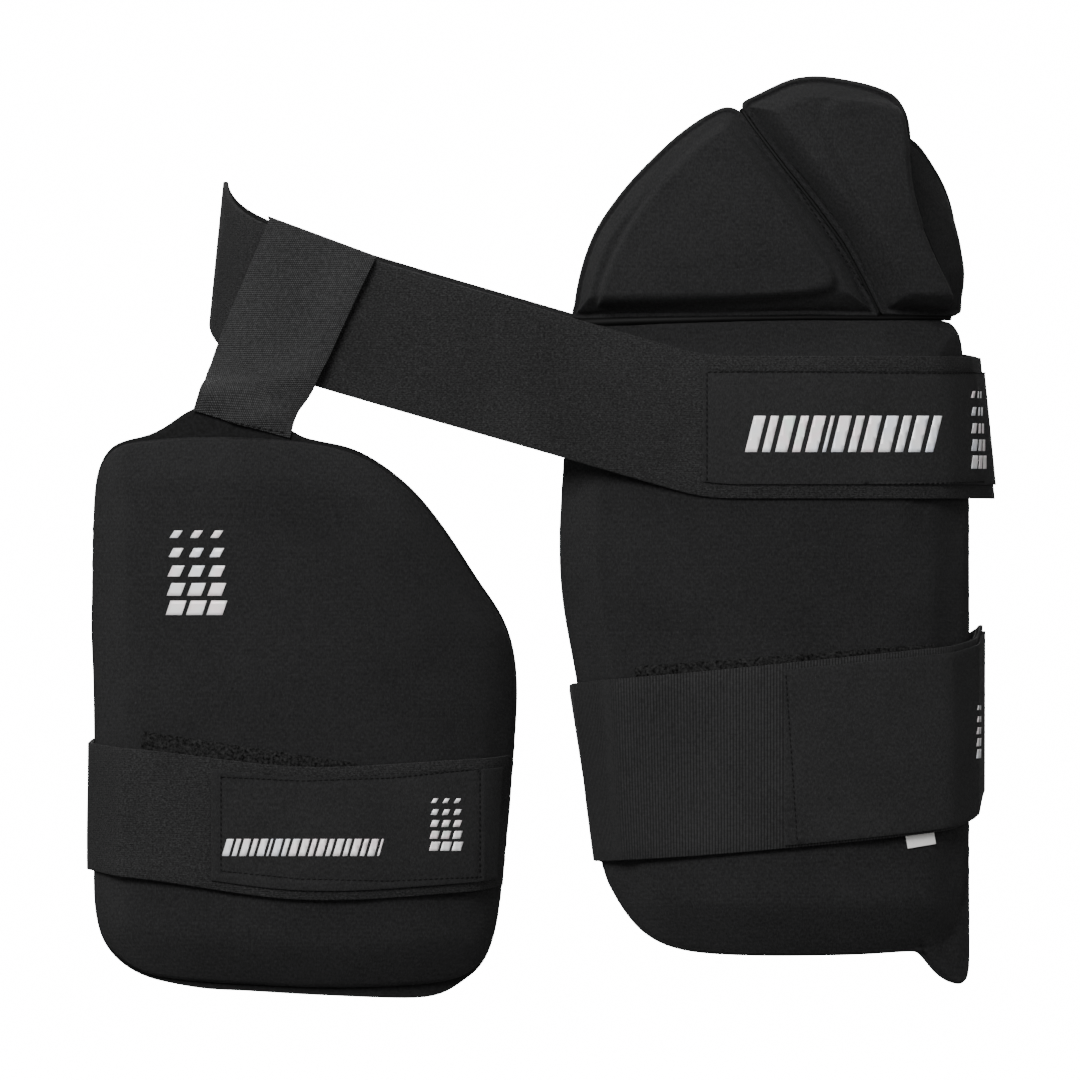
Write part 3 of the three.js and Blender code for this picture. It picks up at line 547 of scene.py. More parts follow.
# The curved forms that the pads are moulded on, as in the frame
HIP_START = 41.6 * MM
HIP_BASE = 42.3 * MM
HIP_HEIGHT = 126 * MM
HIP_SETBACK = 26 * MM
LINING_FRONT = 2.8 * MM
PAD_EDGE = 4 * MM


def oval_form(x, half_width, half_depth, level, lean=0.0, taper=0.0, hip=False):
    def middle(z):
        return x + (level - z) * lean

    def width(z):
        return half_width - (level - z) * taper

    def setback(z):
        if not hip:
            return 0.0 * z
        return HIP_SETBACK * (np.maximum(z - HIP_START, 0) / HIP_HEIGHT) ** 2

    return {"middle": middle, "width": width, "depth": half_depth, "setback": setback}


def locate(form, spots):
    """The turn from the front and the distance out from a form, of every point."""
    z = spots[:, 2]
    width, depth = form["width"](z), form["depth"]
    right, front = spots[:, 0] - form["middle"](z), form["setback"](z) - spots[:, 1]
    turn = np.arctan2(right / width, front / depth)
    for _ in range(6):
        along = (width * np.cos(turn), -depth * np.sin(turn))
        gap = (right - width * np.sin(turn), front - depth * np.cos(turn))
        turn = turn + (gap[0] * along[0] + gap[1] * along[1]) / (along[0] ** 2 + along[1] ** 2)
    normal = (depth * np.sin(turn), width * np.cos(turn))
    return turn, (gap[0] * normal[0] + gap[1] * normal[1]) / np.hypot(*normal)


def place_on(form, turn, z, out):
    width, depth = form["width"](z), form["depth"]
    normal = (depth * np.sin(turn), width * np.cos(turn))
    scale = out / np.hypot(*normal)
    x = form["middle"](z) + width * np.sin(turn) + normal[0] * scale
    y = form["setback"](z) - depth * np.cos(turn) - normal[1] * scale
    return np.stack([x, y, z], axis=1)


def flatten(form, back, unrolled, turn, z):
    """A pad laid flat, across and up."""
    if unrolled:
        return np.stack([turn * unrolled, z], axis=1)
    across = form["middle"](z) + (form["width"](z) + back + PAD_EDGE) * np.sin(turn)
    return np.stack([across, z], axis=1)


def wrap(form, back, unrolled, flat):
    """The turn and height on the form of every spot of a pad laid flat."""
    z = flat[:, 1]
    if unrolled:
        return flat[:, 0] / unrolled, z
    share = (flat[:, 0] - form["middle"](z)) / (form["width"](z) + back + PAD_EDGE)
    return np.arcsin(np.clip(share, -0.999, 0.999)), z


def relax(piece, flat, loose, rounds=60):
    """Evens out the spacing of the loose points of a pad laid flat."""
    ends = np.empty(len(piece.data.edges) * 2, dtype=int)
    piece.data.edges.foreach_get("vertices", ends)
    ends = ends.reshape(-1, 2)
    count = np.bincount(ends.ravel(), minlength=len(flat))[:, None]
    for _ in range(rounds):
        total = np.zeros_like(flat)
        for axis in (0, 1):
            total[:, axis] += np.bincount(ends[:, 0], flat[ends[:, 1], axis], len(flat))
            total[:, axis] += np.bincount(ends[:, 1], flat[ends[:, 0], axis], len(flat))
        flat = np.where(loose[:, None], total / count, flat)
    return flat


def ease(share):
    share = np.clip(share, 0.0, 1.0)
    return share * share * (3 - 2 * share)


class Outline:
    """A closed smooth line through a table of shares, that tells how far inside it spots lie."""

    def __init__(self, table, axis, half_width, base, height):
        knots = [Vector((axis + across * half_width, base + up * height)) for across, up in table]
        self.points = []
        for i, knot in enumerate(knots):
            before = knots[i - 1]
            after, beyond = (knots[(i + ahead) % len(knots)] for ahead in (1, 2))
            steps = max(2, int((after - knot).length / (0.5 * MM)))
            for s in (step / steps for step in range(steps)):
                curved = 2 * knot + (after - before) * s
                curved += (2 * before - 5 * knot + 4 * after - beyond) * s**2
                curved += (3 * knot - before - 3 * after + beyond) * s**3
                self.points.append(curved * 0.5)
        pairs = list(zip(self.points, self.points[1:] + self.points[:1]))
        way = math.copysign(1, sum(p.x * q.y - q.x * p.y for p, q in pairs))
        self.inward = [Vector((-(q - p).y, (q - p).x)).normalized() * way for p, q in pairs]
        self.tree = nearest_in([(spot.x, spot.y, 0) for spot in self.points])

    def inset(self, flat):
        return self.near(flat)[0]

    def near(self, flat):
        """How far inside the line every spot lies, and the way in at its nearest place."""
        inset, inward = np.empty(len(flat)), np.empty((len(flat), 2))
        for i, (across, up) in enumerate(flat):
            near, index, away = self.tree.find((across, up, 0))
            way = self.inward[index]
            inset[i] = math.copysign(away, (across - near.x) * way.x + (up - near.y) * way.y)
            inward[i] = way
        return inset, inward


def slope(share, crisp):
    """A moulded side: the crisper it is, the straighter it rises and the clearer its upper edge."""
    share = np.clip(share, 0.0, 1.0)
    return crisp * share + (1 - crisp) * np.sin(share * math.pi / 2)


def mould(
    piece, form, back, body, rim, flange, bevel, crisp=0.75, valley=0.8 * MM, spread=0.0,
    line=None, panel=None, panel_raise=0.0, unrolled=0.0,
):
    """Gives a pad its finished face: flange, stitched valley, sloped sides and moulded panel."""
    spots = read(piece)
    turn, out = locate(form, spots)
    flat = flatten(form, back, unrolled, turn, spots[:, 2])
    front = out > back + 0.9 * MM
    flat = relax(piece, flat, front & (rim.inset(flat) > 7 * MM))
    inset, inward = rim.near(flat)
    inset = np.maximum(inset, 0)
    deep = np.minimum(inset, np.maximum(line.inset(flat), 0)) if line else inset
    face = back + PAD_EDGE * (0.45 + 0.55 * ease(inset / (1.4 * MM)))
    face += (body - PAD_EDGE) * slope((deep - flange) / bevel, crisp)
    face -= valley * np.exp(-(((deep - flange * 0.9) / (1.3 * MM)) ** 2))
    if panel:
        within = panel.inset(flat)
        face += panel_raise * ease(within / (0.8 * panel_raise) + 0.3)
        face -= 0.6 * MM * np.exp(-(((within + 1.8 * MM) / (1.6 * MM)) ** 2))
    waves = [noise.noise(Vector(spot) * 38) + 0.4 * noise.noise(Vector(spot) * 110) for spot in spots]
    face += 0.4 * MM * np.array(waves) * ease((inset - 2 * MM) / (12 * MM))
    flat -= inward * (spread * np.clip(1 - inset / (4 * MM), 0, 1))[:, None]
    turn, z = wrap(form, back, unrolled, flat)
    write(piece, place_on(form, turn, z, np.where(front, face, out)))
    lay_flat(piece, turn * form["width"](z), z)


def piping(name, form, flats, radii, out, slot, material):
    """A soft cord laid in a seam between two pads."""
    turn, z = wrap(form, LINING_FRONT, 0.0, np.array(flats))
    path = [Vector(spot) for spot in place_on(form, turn, z, np.full(len(z), out))]
    spots, corners, sides = [], [], 8
    for i, spot in enumerate(path):
        radius = radii[0] + (radii[1] - radii[0]) * min(i / len(path) * 2, 1)
        along = (path[min(i + 1, len(path) - 1)] - path[max(i - 1, 0)]).normalized()
        side = along.cross(Vector((0, 1, 0))).normalized()
        other = along.cross(side)
        for step in range(sides):
            angle = math.tau * step / sides
            spots.append(spot + side * radius * math.cos(angle) + other * radius * math.sin(angle))
    for first in range(0, (len(path) - 1) * sides, sides):
        for step in range(sides):
            here, after = first + step, first + (step + 1) % sides
            corners.append([here, after, after + sides, here + sides])
    corners += [list(range(sides)), list(reversed(range(len(spots) - sides, len(spots))))]
    return finish_piece(face_outward(add_mesh(name, spots, corners)), slot, material)


def swell(node, piece, pressure, cap, frames=20):
    """Settles a pad's cover as cloth under light pressure, and lays the result over its face."""
    rough = copy_of(node, node + "_rough")
    round_out(rough, 1)
    start, normals = read(rough), read(rough, "normal")
    held = rough.vertex_groups.new(name="held")
    held.add([int(i) for i in np.nonzero(normals[:, 1] > -0.1)[0]], 1.0, "REPLACE")
    cloth = rough.modifiers.new("cover", "CLOTH")
    cloth.settings.use_pressure = True
    cloth.settings.uniform_pressure_force = pressure
    cloth.settings.effector_weights.gravity = 0
    cloth.settings.vertex_group_mass = "held"
    cloth.point_cache.frame_start = 1
    cloth.point_cache.frame_end = frames
    for step in range(1, frames + 1):
        bpy.context.scene.frame_set(step)
    apply_modifiers(rough)
    moves = np.clip(np.einsum("ij,ij->i", read(rough) - start, normals), -cap, cap)
    bpy.data.objects.remove(rough)
    bpy.context.scene.frame_set(1)
    tree = nearest_in(start)
    spots, ways = read(piece), read(piece, "normal")
    for i in np.nonzero(ways[:, 1] < -0.1)[0]:
        near = tree.find_n(spots[i], 4)
        weights = [1 / (away + 0.5 * MM) for _, _, away in near]
        spots[i] += ways[i] * sum(w * moves[j] for w, (_, j, _) in zip(weights, near)) / sum(weights)
    write(piece, spots)


# Stitching, pressed seams, prints and fuzz
STITCH_PITCH = 3.0 * MM
STITCH_THICK = 0.8 * MM
PRINT_LIFT = 0.1 * MM
PRINT_THICK = 0.09 * MM
FIBRE_RADIUS = 0.07 * MM


def surface(*pieces):
    """One surface over several pieces, to lay detail on."""
    spots, faces = [], []
    for piece in pieces:
        first = len(spots)
        spots += [v.co.copy() for v in piece.data.vertices]
        faces += [[first + corner for corner in face.vertices] for face in piece.data.polygons]
    return BVHTree.FromPolygons(spots, faces)


def lay_on(tree, x, y):
    """The surface spot and its outward way at a place in the 1080 by 1080 photograph."""
    reach = Vector(((x - ZERO_X) * PIXEL, PHOTO_PLANE, (ZERO_Y - y) * PIXEL)) - CAMERA_SPOT
    spot, way, _, _ = tree.ray_cast(CAMERA_SPOT, reach.normalized())
    return (spot, way) if spot else (None, None)


def trace(tree, knots):
    """Follows a line of photograph places over a surface."""
    line = []
    for (x0, y0), (x1, y1) in zip(knots, knots[1:]):
        steps = max(1, int(math.hypot(x1 - x0, y1 - y0)))
        for step in range(steps):
            spot, way = lay_on(tree, x0 + (x1 - x0) * step / steps, y0 + (y1 - y0) * step / steps)
            if spot:
                line.append((spot, way))
    return line


def paced(line, pitch):
    """Evenly spaced places on a line: spot, outward way and direction."""
    if len(line) < 2:
        return []
    run = [0.0]
    for (p, _), (q, _) in zip(line, line[1:]):
        run.append(run[-1] + (q - p).length)
    places, at, index = [], pitch / 2, 0
    while at < run[-1]:
        while run[index + 1] < at:
            index += 1
        share = (at - run[index]) / max(run[index + 1] - run[index], 1e-9)
        (p, up), (q, _) = line[index], line[index + 1]
        places.append((p.lerp(q, share), up, (q - p).normalized()))
        at += pitch
    return places


def press(piece, line, depth, width, pitch):
    """Pulls a seam's line into its cloth, most at every needle hole."""
    step = 0.5 * MM
    places = paced(line, step)
    if not places:
        return
    tree = nearest_in([spot for spot, _, _ in places])
    for vertex in piece.data.vertices:
        _, index, away = tree.find(vertex.co)
        up = places[index][1]
        if away < 3 * width and vertex.normal.dot(up) > 0.3:
            pull = 0.7 + 0.3 * math.cos(math.tau * index * step / pitch)
            vertex.co -= up * depth * pull * math.exp(-((away / width) ** 2))
    piece.data.update()


def fold(piece, line, rise, width):
    """Raises a soft fold through both faces of a strap."""
    places = paced(line, 1 * MM)
    tree = nearest_in([spot for spot, _, _ in places])
    for vertex in piece.data.vertices:
        _, index, away = tree.find(vertex.co)
        if away < 3 * width:
            vertex.co += places[index][1] * rise * math.exp(-((away / width) ** 2))
    piece.data.update()


def shifted(knots, right, down):
    return [(x + right, y + down) for x, y in knots]


def bead(name, long, thick, sink):
    """One stitch: a short thread with its ends bent down into the cloth."""
    deselect()
    bpy.ops.mesh.primitive_uv_sphere_add(segments=6, ring_count=5, radius=0.5)
    stitch = bpy.context.object
    stitch.name = name
    bpy.ops.object.mode_set(mode="EDIT")
    bpy.ops.mesh.select_all(action="SELECT")
    bpy.ops.transform.resize(value=(thick, thick, long))
    bpy.ops.object.mode_set(mode="OBJECT")
    shape = []
    for vertex in stitch.data.vertices:
        x, y, z = vertex.co
        shape.append(Vector((z, y, x - sink * (2 * z / long) ** 2)))
    faces = [list(reversed(face.vertices)) for face in stitch.data.polygons]
    bpy.data.objects.remove(stitch)
    return shape, faces


def repeat(name, shape, faces, places, lift, skew=0.0):
    """Lays many copies of one small shape as a single piece."""
    spots, corners = [], []
    tilt = Matrix.Rotation(skew, 3, "Z")
    for spot, up, along in places:
        side = up.cross(along).normalized()
        along = side.cross(up).normalized()
        turn = Matrix((along, side, up)).transposed()
        first = len(spots)
        spots += [spot + up * lift + turn @ (tilt @ corner) for corner in shape]
        corners += [[first + corner for corner in face] for face in faces]
    return face_outward(add_mesh(name, spots, corners))


def sew(name, lines, slot, pitch=STITCH_PITCH):
    """Rows of stitches along lines on a surface."""
    shape, faces = bead(name, pitch * 0.82, STITCH_THICK, 0.32 * MM)
    places = [place for line in lines for place in paced(line, pitch)]
    piece = repeat(name, shape, faces, places, 0.12 * MM, skew=0.1)
    return finish_piece(piece, slot, CLOTHS["thread"])


def foil(name, place, shapes, step=4.0):
    """Thin printed shapes, laid over a piece by a way to place each of their points."""
    mesh = bmesh.new()
    for shape in shapes:
        mesh.faces.new([mesh.verts.new((x, y, 0)) for x, y in shape])
    for axis in (Vector((1, 0, 0)), Vector((0, 1, 0))):
        reach = [v.co.dot(axis) / step for v in mesh.verts]
        for cut in range(int(min(reach)), int(max(reach)) + 1):
            whole = mesh.verts[:] + mesh.edges[:] + mesh.faces[:]
            bmesh.ops.bisect_plane(mesh, geom=whole, plane_co=axis * cut * step, plane_no=axis)
    lost = []
    for vertex in mesh.verts:
        spot, way = place(vertex.co.x, vertex.co.y)
        if spot:
            vertex.co = spot + way * PRINT_LIFT
        else:
            lost.append(vertex)
    bmesh.ops.delete(mesh, geom=lost, context="VERTS")
    mesh.normal_update()
    spot, way = place(*shapes[0][0])
    if mesh.faces[:][0].normal.dot(way) < 0:
        bmesh.ops.reverse_faces(mesh, faces=mesh.faces)
    data = bpy.data.meshes.new(name)
    mesh.to_mesh(data)
    mesh.free()
    piece = add_object(name, data)
    skin = piece.modifiers.new("print_body", "SOLIDIFY")
    skin.thickness = PRINT_THICK
    skin.offset = 1
    apply_modifiers(piece)
    return finish_piece(piece, "label_cloth", CLOTHS["foil"])


def seen_on(piece):
    """Places a print as the photograph shows it, in its pixels."""
    tree = surface(piece)
    return lambda x, y: lay_on(tree, x, y)


def run_on(piece, centre, x, y):
    """Places a print along a strap's own run, in metres right of and down from a photograph place."""
    tree = surface(piece)
    first = lay_on(tree, x, y)[0]

    def cast(bearing, z):
        out = Vector((math.sin(bearing), -math.cos(bearing), 0))
        return tree.ray_cast(Vector((*centre, z)) + out * 0.4, -out)[:2]

    start = math.atan2(first.x - centre[0], centre[1] - first.y)
    bearings = [start + math.radians(step) for step in np.arange(0, 60, 0.5)]
    spots = [spot for spot in (cast(bearing, first.z)[0] for bearing in bearings) if spot]
    run = np.concatenate([[0], np.cumsum([(q - p).length for p, q in zip(spots, spots[1:])])])
    return lambda right, down: cast(float(np.interp(right, run, bearings[: len(spots)])), first.z - down)


def slanted_bars(left, right, top, bottom, widths, gap, lean):
    """A row of slanted bars between two heights, as shapes in photograph places."""
    total = sum(widths) + gap * (len(widths) - 1)
    scale = (right - left - lean) / total
    shapes, x = [], left
    for width in widths:
        w = width * scale
        shapes.append([(x, bottom), (x + w, bottom), (x + w + lean, top), (x + lean, top)])
        x += w + gap * scale
    return shapes


def blocks(left, right, top, bottom, columns, rows):
    """Rows of slanted blocks that grow from the top down, as shapes in photograph places."""
    shapes = []
    wide, high = (right - left) / columns, (bottom - top) / rows
    for row in range(rows):
        size = 0.4 + 0.38 * row / (rows - 1)
        y = top + (row + 0.5) * high
        for column in range(columns):
            x = left + (column + 0.5) * wide
            a, b, lean = wide * size / 2, high * size / 2, wide * 0.12
            lower = [(x - a - lean, y + b), (x + a - lean, y + b)]
            shapes.append(lower + [(x + a + lean, y - b), (x - a + lean, y - b)])
    return shapes


def fuzz(name, piece, count, long, slot, seed):
    """Short fibres standing out of a brushed pile."""
    chance = random.Random(seed)
    faces = [face for face in piece.data.polygons if face.area > 0]
    weights = [face.area for face in faces]
    spots, corners = [], []
    for face in chance.choices(faces, weights, k=count):
        corner = [piece.data.vertices[i].co for i in face.vertices]
        shares = [chance.random() for _ in corner]
        spot = sum((c * s for c, s in zip(corner, shares)), Vector()) / sum(shares)
        lean = Vector([chance.uniform(-1, 1) for _ in range(3)]) * 0.8
        tip = spot + (face.normal + lean).normalized() * long * chance.uniform(0.5, 1.2)
        side = face.normal.orthogonal().normalized() * FIBRE_RADIUS
        other = face.normal.cross(side)
        first = len(spots)
        spots += [spot + side, spot - side * 0.5 + other * 0.87, spot - side * 0.5 - other * 0.87, tip]
        corners += [[first, first + 1, first + 3], [first + 1, first + 2, first + 3]]
        corners += [[first + 2, first, first + 3], [first + 2, first + 1, first]]
    return finish_piece(add_mesh(name, spots, corners), slot, CLOTHS["pile"])


def loop_edge(piece, centre, upper):
    """The upper or lower edge line of a strap, found turn by turn."""
    spots = read(piece)
    bearing = np.degrees(np.arctan2(spots[:, 0] - centre[0], centre[1] - spots[:, 1]))
    line, step = [], 2
    for start in range(-180, 180, step):
        chosen = np.nonzero((bearing >= start) & (bearing < start + step))[0]
        if not len(chosen):
            continue
        heights = spots[chosen, 2]
        best = heights.max() if upper else heights.min()
        spot = Vector(spots[chosen[np.abs(heights - best) < 0.8 * MM]].mean(axis=0))
        away = Vector((spot.x - centre[0], spot.y - centre[1], 0)).normalized()
        line.append((spot, away))
    return line


place_camera()
place_stage()
place_lights()

GROUPS = {
    "drift": drift_group(),
    "knit": knit_group(),
    "grain": grain_group(),
    "ribs": rib_group(),
    "twill": twill_group(),
}
CLOTHS = {
    "pad": cloth_material(
        "pad_knit", GROUPS["knit"], rough=0.82, depth=0.22 * MM,
        dark=(0.0036, 0.0036, 0.0038), light=(0.0254, 0.0254, 0.026),
    ),
    "panel": cloth_material(
        "panel_knit", GROUPS["knit"], rough=0.8, depth=0.16 * MM, Wale=0.7, Course=0.6,
        dark=(0.0055, 0.0055, 0.0057), light=(0.0295, 0.0295, 0.03),
    ),
    "elastic": cloth_material(
        "woven_elastic", GROUPS["grain"], rough=0.78, depth=0.6 * MM, Pitch=1.0, Unevenness=0.8,
        dark=(0.0024, 0.0024, 0.0024), light=(0.038, 0.038, 0.0385),
    ),
    "ribs": cloth_material(
        "ribbed_elastic", GROUPS["ribs"], rough=0.75, depth=0.35 * MM, Pitch=1.6,
        dark=(0.004, 0.004, 0.004), light=(0.024, 0.024, 0.0245),
    ),
    "webbing": cloth_material(
        "satin_webbing", GROUPS["twill"], rough=0.6, depth=0.4 * MM, sheen=0.04, gloss=0.25, Pitch=1.1,
        dark=(0.003, 0.003, 0.003), light=(0.044, 0.044, 0.045),
    ),
    "lining": soft_material(
        "brushed_lining", rough=0.9, depth=0.15 * MM, scale=700, sheen=0.08,
        dark=(0.005, 0.005, 0.005), light=(0.014, 0.014, 0.0145),
    ),
    "pile": soft_material(
        "loop_pile", rough=0.95, depth=0.8 * MM, scale=700, gloss=0.05,
        dark=(0.001, 0.001, 0.001), light=(0.03, 0.03, 0.03),
    ),
    "thread": soft_material(
        "black_thread", rough=0.6, depth=0.08 * MM, scale=3000, gloss=0.15,
        dark=(0.001, 0.001, 0.001), light=(0.003, 0.003, 0.003),
    ),
    "label": soft_material(
        "label_satin", rough=0.55, depth=0.04 * MM, scale=1600, gloss=0.3,
        dark=(0.72, 0.71, 0.69), light=(0.82, 0.81, 0.79),
    ),
    "foil": foil_material(),
}
slots = {each["node"]: each["material_slot"] for each in frame["record"]["subparts"]}

# The moulds' forms and the pads' inner lines, as in the frame
OUTER_FORM = oval_form(96 * MM, 127.5 * MM, 88 * MM, -195 * MM, lean=0.078, taper=0.08, hip=True)
REAR_HIP_FORM = oval_form(77.5 * MM, 119 * MM, 104.6 * MM, HIP_START, lean=0.078, hip=True)
INNER_FORM = oval_form(-162 * MM, 126.9 * MM, 86 * MM, -209.2 * MM, taper=0.04)
OUTER_RIM = [
    (-0.962, 0.985), (-0.7, 0.994), (-0.262, 0.998), (0.357, 1), (0.79, 1), (0.88, 0.99),
    (0.922, 0.95), (0.948, 0.8), (0.952, 0.558), (0.95, 0.3), (0.95, 0.06), (0.95, -0.015),
    (0.935, -0.042), (0.9, -0.05), (0.855, -0.046), (0.8, -0.033), (0.752, -0.014), (0.7, 0),
    (0.5, -0.001), (0.024, -0.004), (-0.3, -0.001), (-0.5, 0.008), (-0.643, 0.032), (-0.755, 0.075),
    (-0.843, 0.139), (-0.9, 0.29), (-0.965, 0.43), (-1.03, 0.55), (-1.048, 0.64), (-1.035, 0.74),
    (-1.005, 0.87),
]
OUTER_FOOT = [(0.945, 0.16), (0.915, 0.07), (0.84, 0.022), (0.7, 0.004)]
OUTER_BODY = OUTER_RIM[:10] + OUTER_FOOT + OUTER_RIM[18:]
FRONT_HIP_RIM = [
    (-0.968, 0), (-0.971, 0.082), (-0.933, 0.23), (-0.862, 0.379), (-0.72, 0.547), (-0.648, 0.613),
    (-0.49, 0.742), (-0.319, 0.845), (-0.224, 0.874), (-0.165, 0.855), (-0.095, 0.778), (0.048, 0.617),
    (0.19, 0.465), (0.333, 0.297), (0.433, 0.147), (0.503, 0.03), (0.49, 0.008), (0.167, 0.012),
    (-0.262, 0.006), (-0.69, 0.002),
]
FRONT_HIP_PANEL = [
    (-0.82, 0.09), (-0.76, 0.055), (-0.2, 0.07), (0.2, 0.105), (0.272, 0.15), (0.22, 0.26),
    (-0.02, 0.56), (-0.2, 0.765), (-0.28, 0.79), (-0.5, 0.6), (-0.7, 0.36),
]
SIDE_HIP_RIM = [
    (-0.15, 0.886), (-0.033, 0.945), (0.095, 0.992), (0.224, 1.004), (0.357, 0.99), (0.5, 0.962),
    (0.6, 0.92), (0.652, 0.85), (0.672, 0.745), (0.674, 0.65), (0.69, 0.53), (0.73, 0.4),
    (0.786, 0.28), (0.845, 0.17), (0.878, 0.08), (0.879, 0.025), (0.845, 0.012), (0.555, 0.015),
    (0.518, 0.034), (0.441, 0.165), (0.338, 0.325), (0.195, 0.49), (0.053, 0.64), (-0.088, 0.796),
]
SIDE_HIP_PANEL = [
    (0.21, 0.82), (0.25, 0.895), (0.34, 0.91), (0.55, 0.9), (0.63, 0.82), (0.64, 0.62), (0.68, 0.42),
    (0.76, 0.22), (0.82, 0.06), (0.62, 0.06), (0.5, 0.26), (0.32, 0.58),
]
REAR_HIP_RIM = [
    (0.63, 0.03), (0.6, 0.2), (0.6, 0.45), (0.65, 0.68), (0.75, 0.76), (0.88, 0.775), (1.01, 0.735),
    (1.15, 0.645), (1.31, 0.54), (1.45, 0.42), (1.52, 0.29), (1.52, 0.15), (1.44, 0.045), (1.3, 0.016),
    (0.8, 0.012),
]
INNER_RIM = [
    (-0.801, 0.991), (-0.477, 1), (-0.06, 0.993), (0.14, 0.981), (0.28, 0.963), (0.4, 0.935),
    (0.53, 0.892), (0.676, 0.822), (0.81, 0.742), (0.931, 0.672), (0.987, 0.612), (1.005, 0.538),
    (0.99, 0.42), (0.963, 0.292), (0.925, 0.14), (0.886, 0.07), (0.819, 0.03), (0.704, 0.008),
    (0.449, -0.002), (0.1, -0.004), (-0.273, 0.002), (-0.56, 0.009), (-0.74, 0.02), (-0.87, 0.048),
    (-0.95, 0.085), (-0.988, 0.14), (-0.993, 0.25), (-0.986, 0.447), (-1, 0.7), (-0.995, 0.849),
    (-0.978, 0.925), (-0.935, 0.964), (-0.87, 0.984),
]
HIP_SEAM = [
    (-0.157, 0.868), (-0.091, 0.787), (0.0505, 0.6285), (0.1925, 0.4775), (0.3355, 0.311),
    (0.437, 0.156), (0.51, 0.03), (0.512, 0.005),
]
HIP_FOOT = [
    (-0.955, -0.018), (-0.7, -0.009), (-0.262, 0.0), (0.167, 0.005), (0.5, 0.004), (0.7, 0.006),
    (0.865, 0.006),
]
OUTER_AXIS, OUTER_HALF_WIDTH = 91 * MM, 109 * MM
OUTER_BASE, OUTER_HEIGHT = -287.4 * MM, 329 * MM
INNER_AXIS, INNER_HALF_WIDTH = -154.4 * MM, 112.3 * MM
INNER_BASE, INNER_HEIGHT = -304.2 * MM, 285 * MM
REAR_HIP_RUN = 119 * MM


def outer_line(table, base=HIP_BASE, height=HIP_HEIGHT):
    return Outline(table, OUTER_AXIS, OUTER_HALF_WIDTH, base, height)


def hip_flats(table):
    """Places along a hip seam, evenly spaced between the rows of its table."""
    rows = [(OUTER_AXIS + x * OUTER_HALF_WIDTH, HIP_BASE + up * HIP_HEIGHT) for x, up in table]
    places = []
    for (x0, z0), (x1, z1) in zip(rows, rows[1:]):
        steps = max(1, int(math.hypot(x1 - x0, z1 - z0) / (3 * MM)))
        places += [(x0 + (x1 - x0) * s / steps, z0 + (z1 - z0) * s / steps) for s in range(steps)]
    return places + [rows[-1]]


PADS = {
    "outer_pad": dict(
        form=OUTER_FORM, back=LINING_FRONT, body=19 * MM, flange=1.5 * MM, bevel=25 * MM,
        valley=0.3 * MM, spread=0.3 * MM,
        rim=outer_line(OUTER_RIM, OUTER_BASE, OUTER_HEIGHT),
        line=outer_line(OUTER_BODY, OUTER_BASE, OUTER_HEIGHT),
    ),
    "front_hip_pad": dict(
        form=OUTER_FORM, back=LINING_FRONT, body=15 * MM, flange=3 * MM, bevel=9 * MM,
        valley=1.2 * MM, spread=0.3 * MM, panel_raise=6 * MM,
        rim=outer_line(FRONT_HIP_RIM),
        panel=outer_line(FRONT_HIP_PANEL),
    ),
    "side_hip_pad": dict(
        form=OUTER_FORM, back=LINING_FRONT, body=21 * MM, flange=3.5 * MM, bevel=8 * MM,
        valley=1.4 * MM, spread=0.3 * MM, panel_raise=4 * MM, crisp=0.5,
        rim=outer_line(SIDE_HIP_RIM),
        panel=outer_line(SIDE_HIP_PANEL),
    ),
    "rear_hip_pad": dict(
        form=REAR_HIP_FORM, back=-9 * MM, body=9 * MM, flange=4 * MM, bevel=20 * MM,
        unrolled=REAR_HIP_RUN,
        rim=Outline(REAR_HIP_RIM, 0, REAR_HIP_RUN, HIP_BASE, HIP_HEIGHT),
    ),
    "inner_pad": dict(
        form=INNER_FORM, back=LINING_FRONT, body=17 * MM, flange=0.8 * MM, bevel=23 * MM,
        valley=0.1 * MM, crisp=0.45,
        rim=Outline(INNER_RIM, INNER_AXIS, INNER_HALF_WIDTH, INNER_BASE, INNER_HEIGHT),
    ),
}
covers = {}
for node, shape in PADS.items():
    cover = copy_of(node, node + "_cover")
    round_out(cover, 3)
    mould(cover, **shape)
    swell(node, cover, pressure=4, cap=1.0 * MM)
    covers[node] = finish_piece(cover, slots[node], CLOTHS["pad"], node)

# Seam cords along the hip pads: line, radius at both ends and distance out from the form
CORDS = {
    "hip_seam_cord": (HIP_SEAM, (1.4 * MM, 1.4 * MM), 4.0 * MM),
    "hip_foot_cord": (HIP_FOOT, (3.4 * MM, 1.5 * MM), 4.4 * MM),
}
for name, (table, radii, out) in CORDS.items():
    piping(name, OUTER_FORM, hip_flats(table), radii, out, "pad_cloth", CLOTHS["thread"])

# Linings: thin sheets stretched over the backs of the two guards
LININGS = {
    "outer_backing": (OUTER_FORM, (0.228, 0.329)),
    "inner_backing": (INNER_FORM, (0.232, 0.285)),
}
EDGE_ROUND = 0.4 * MM
LABEL_ROUND = 0.12 * MM
for node, (form, flat) in LININGS.items():
    lining = copy_of(node, node + "_lining")
    round_out(lining, 2)
    soften_edges(lining, EDGE_ROUND)
    spots = read(lining)
    lay_flat(lining, locate(form, spots)[0] * form["width"](spots[:, 2]), spots[:, 2])
    finish_piece(lining, slots[node], CLOTHS["lining"], node)

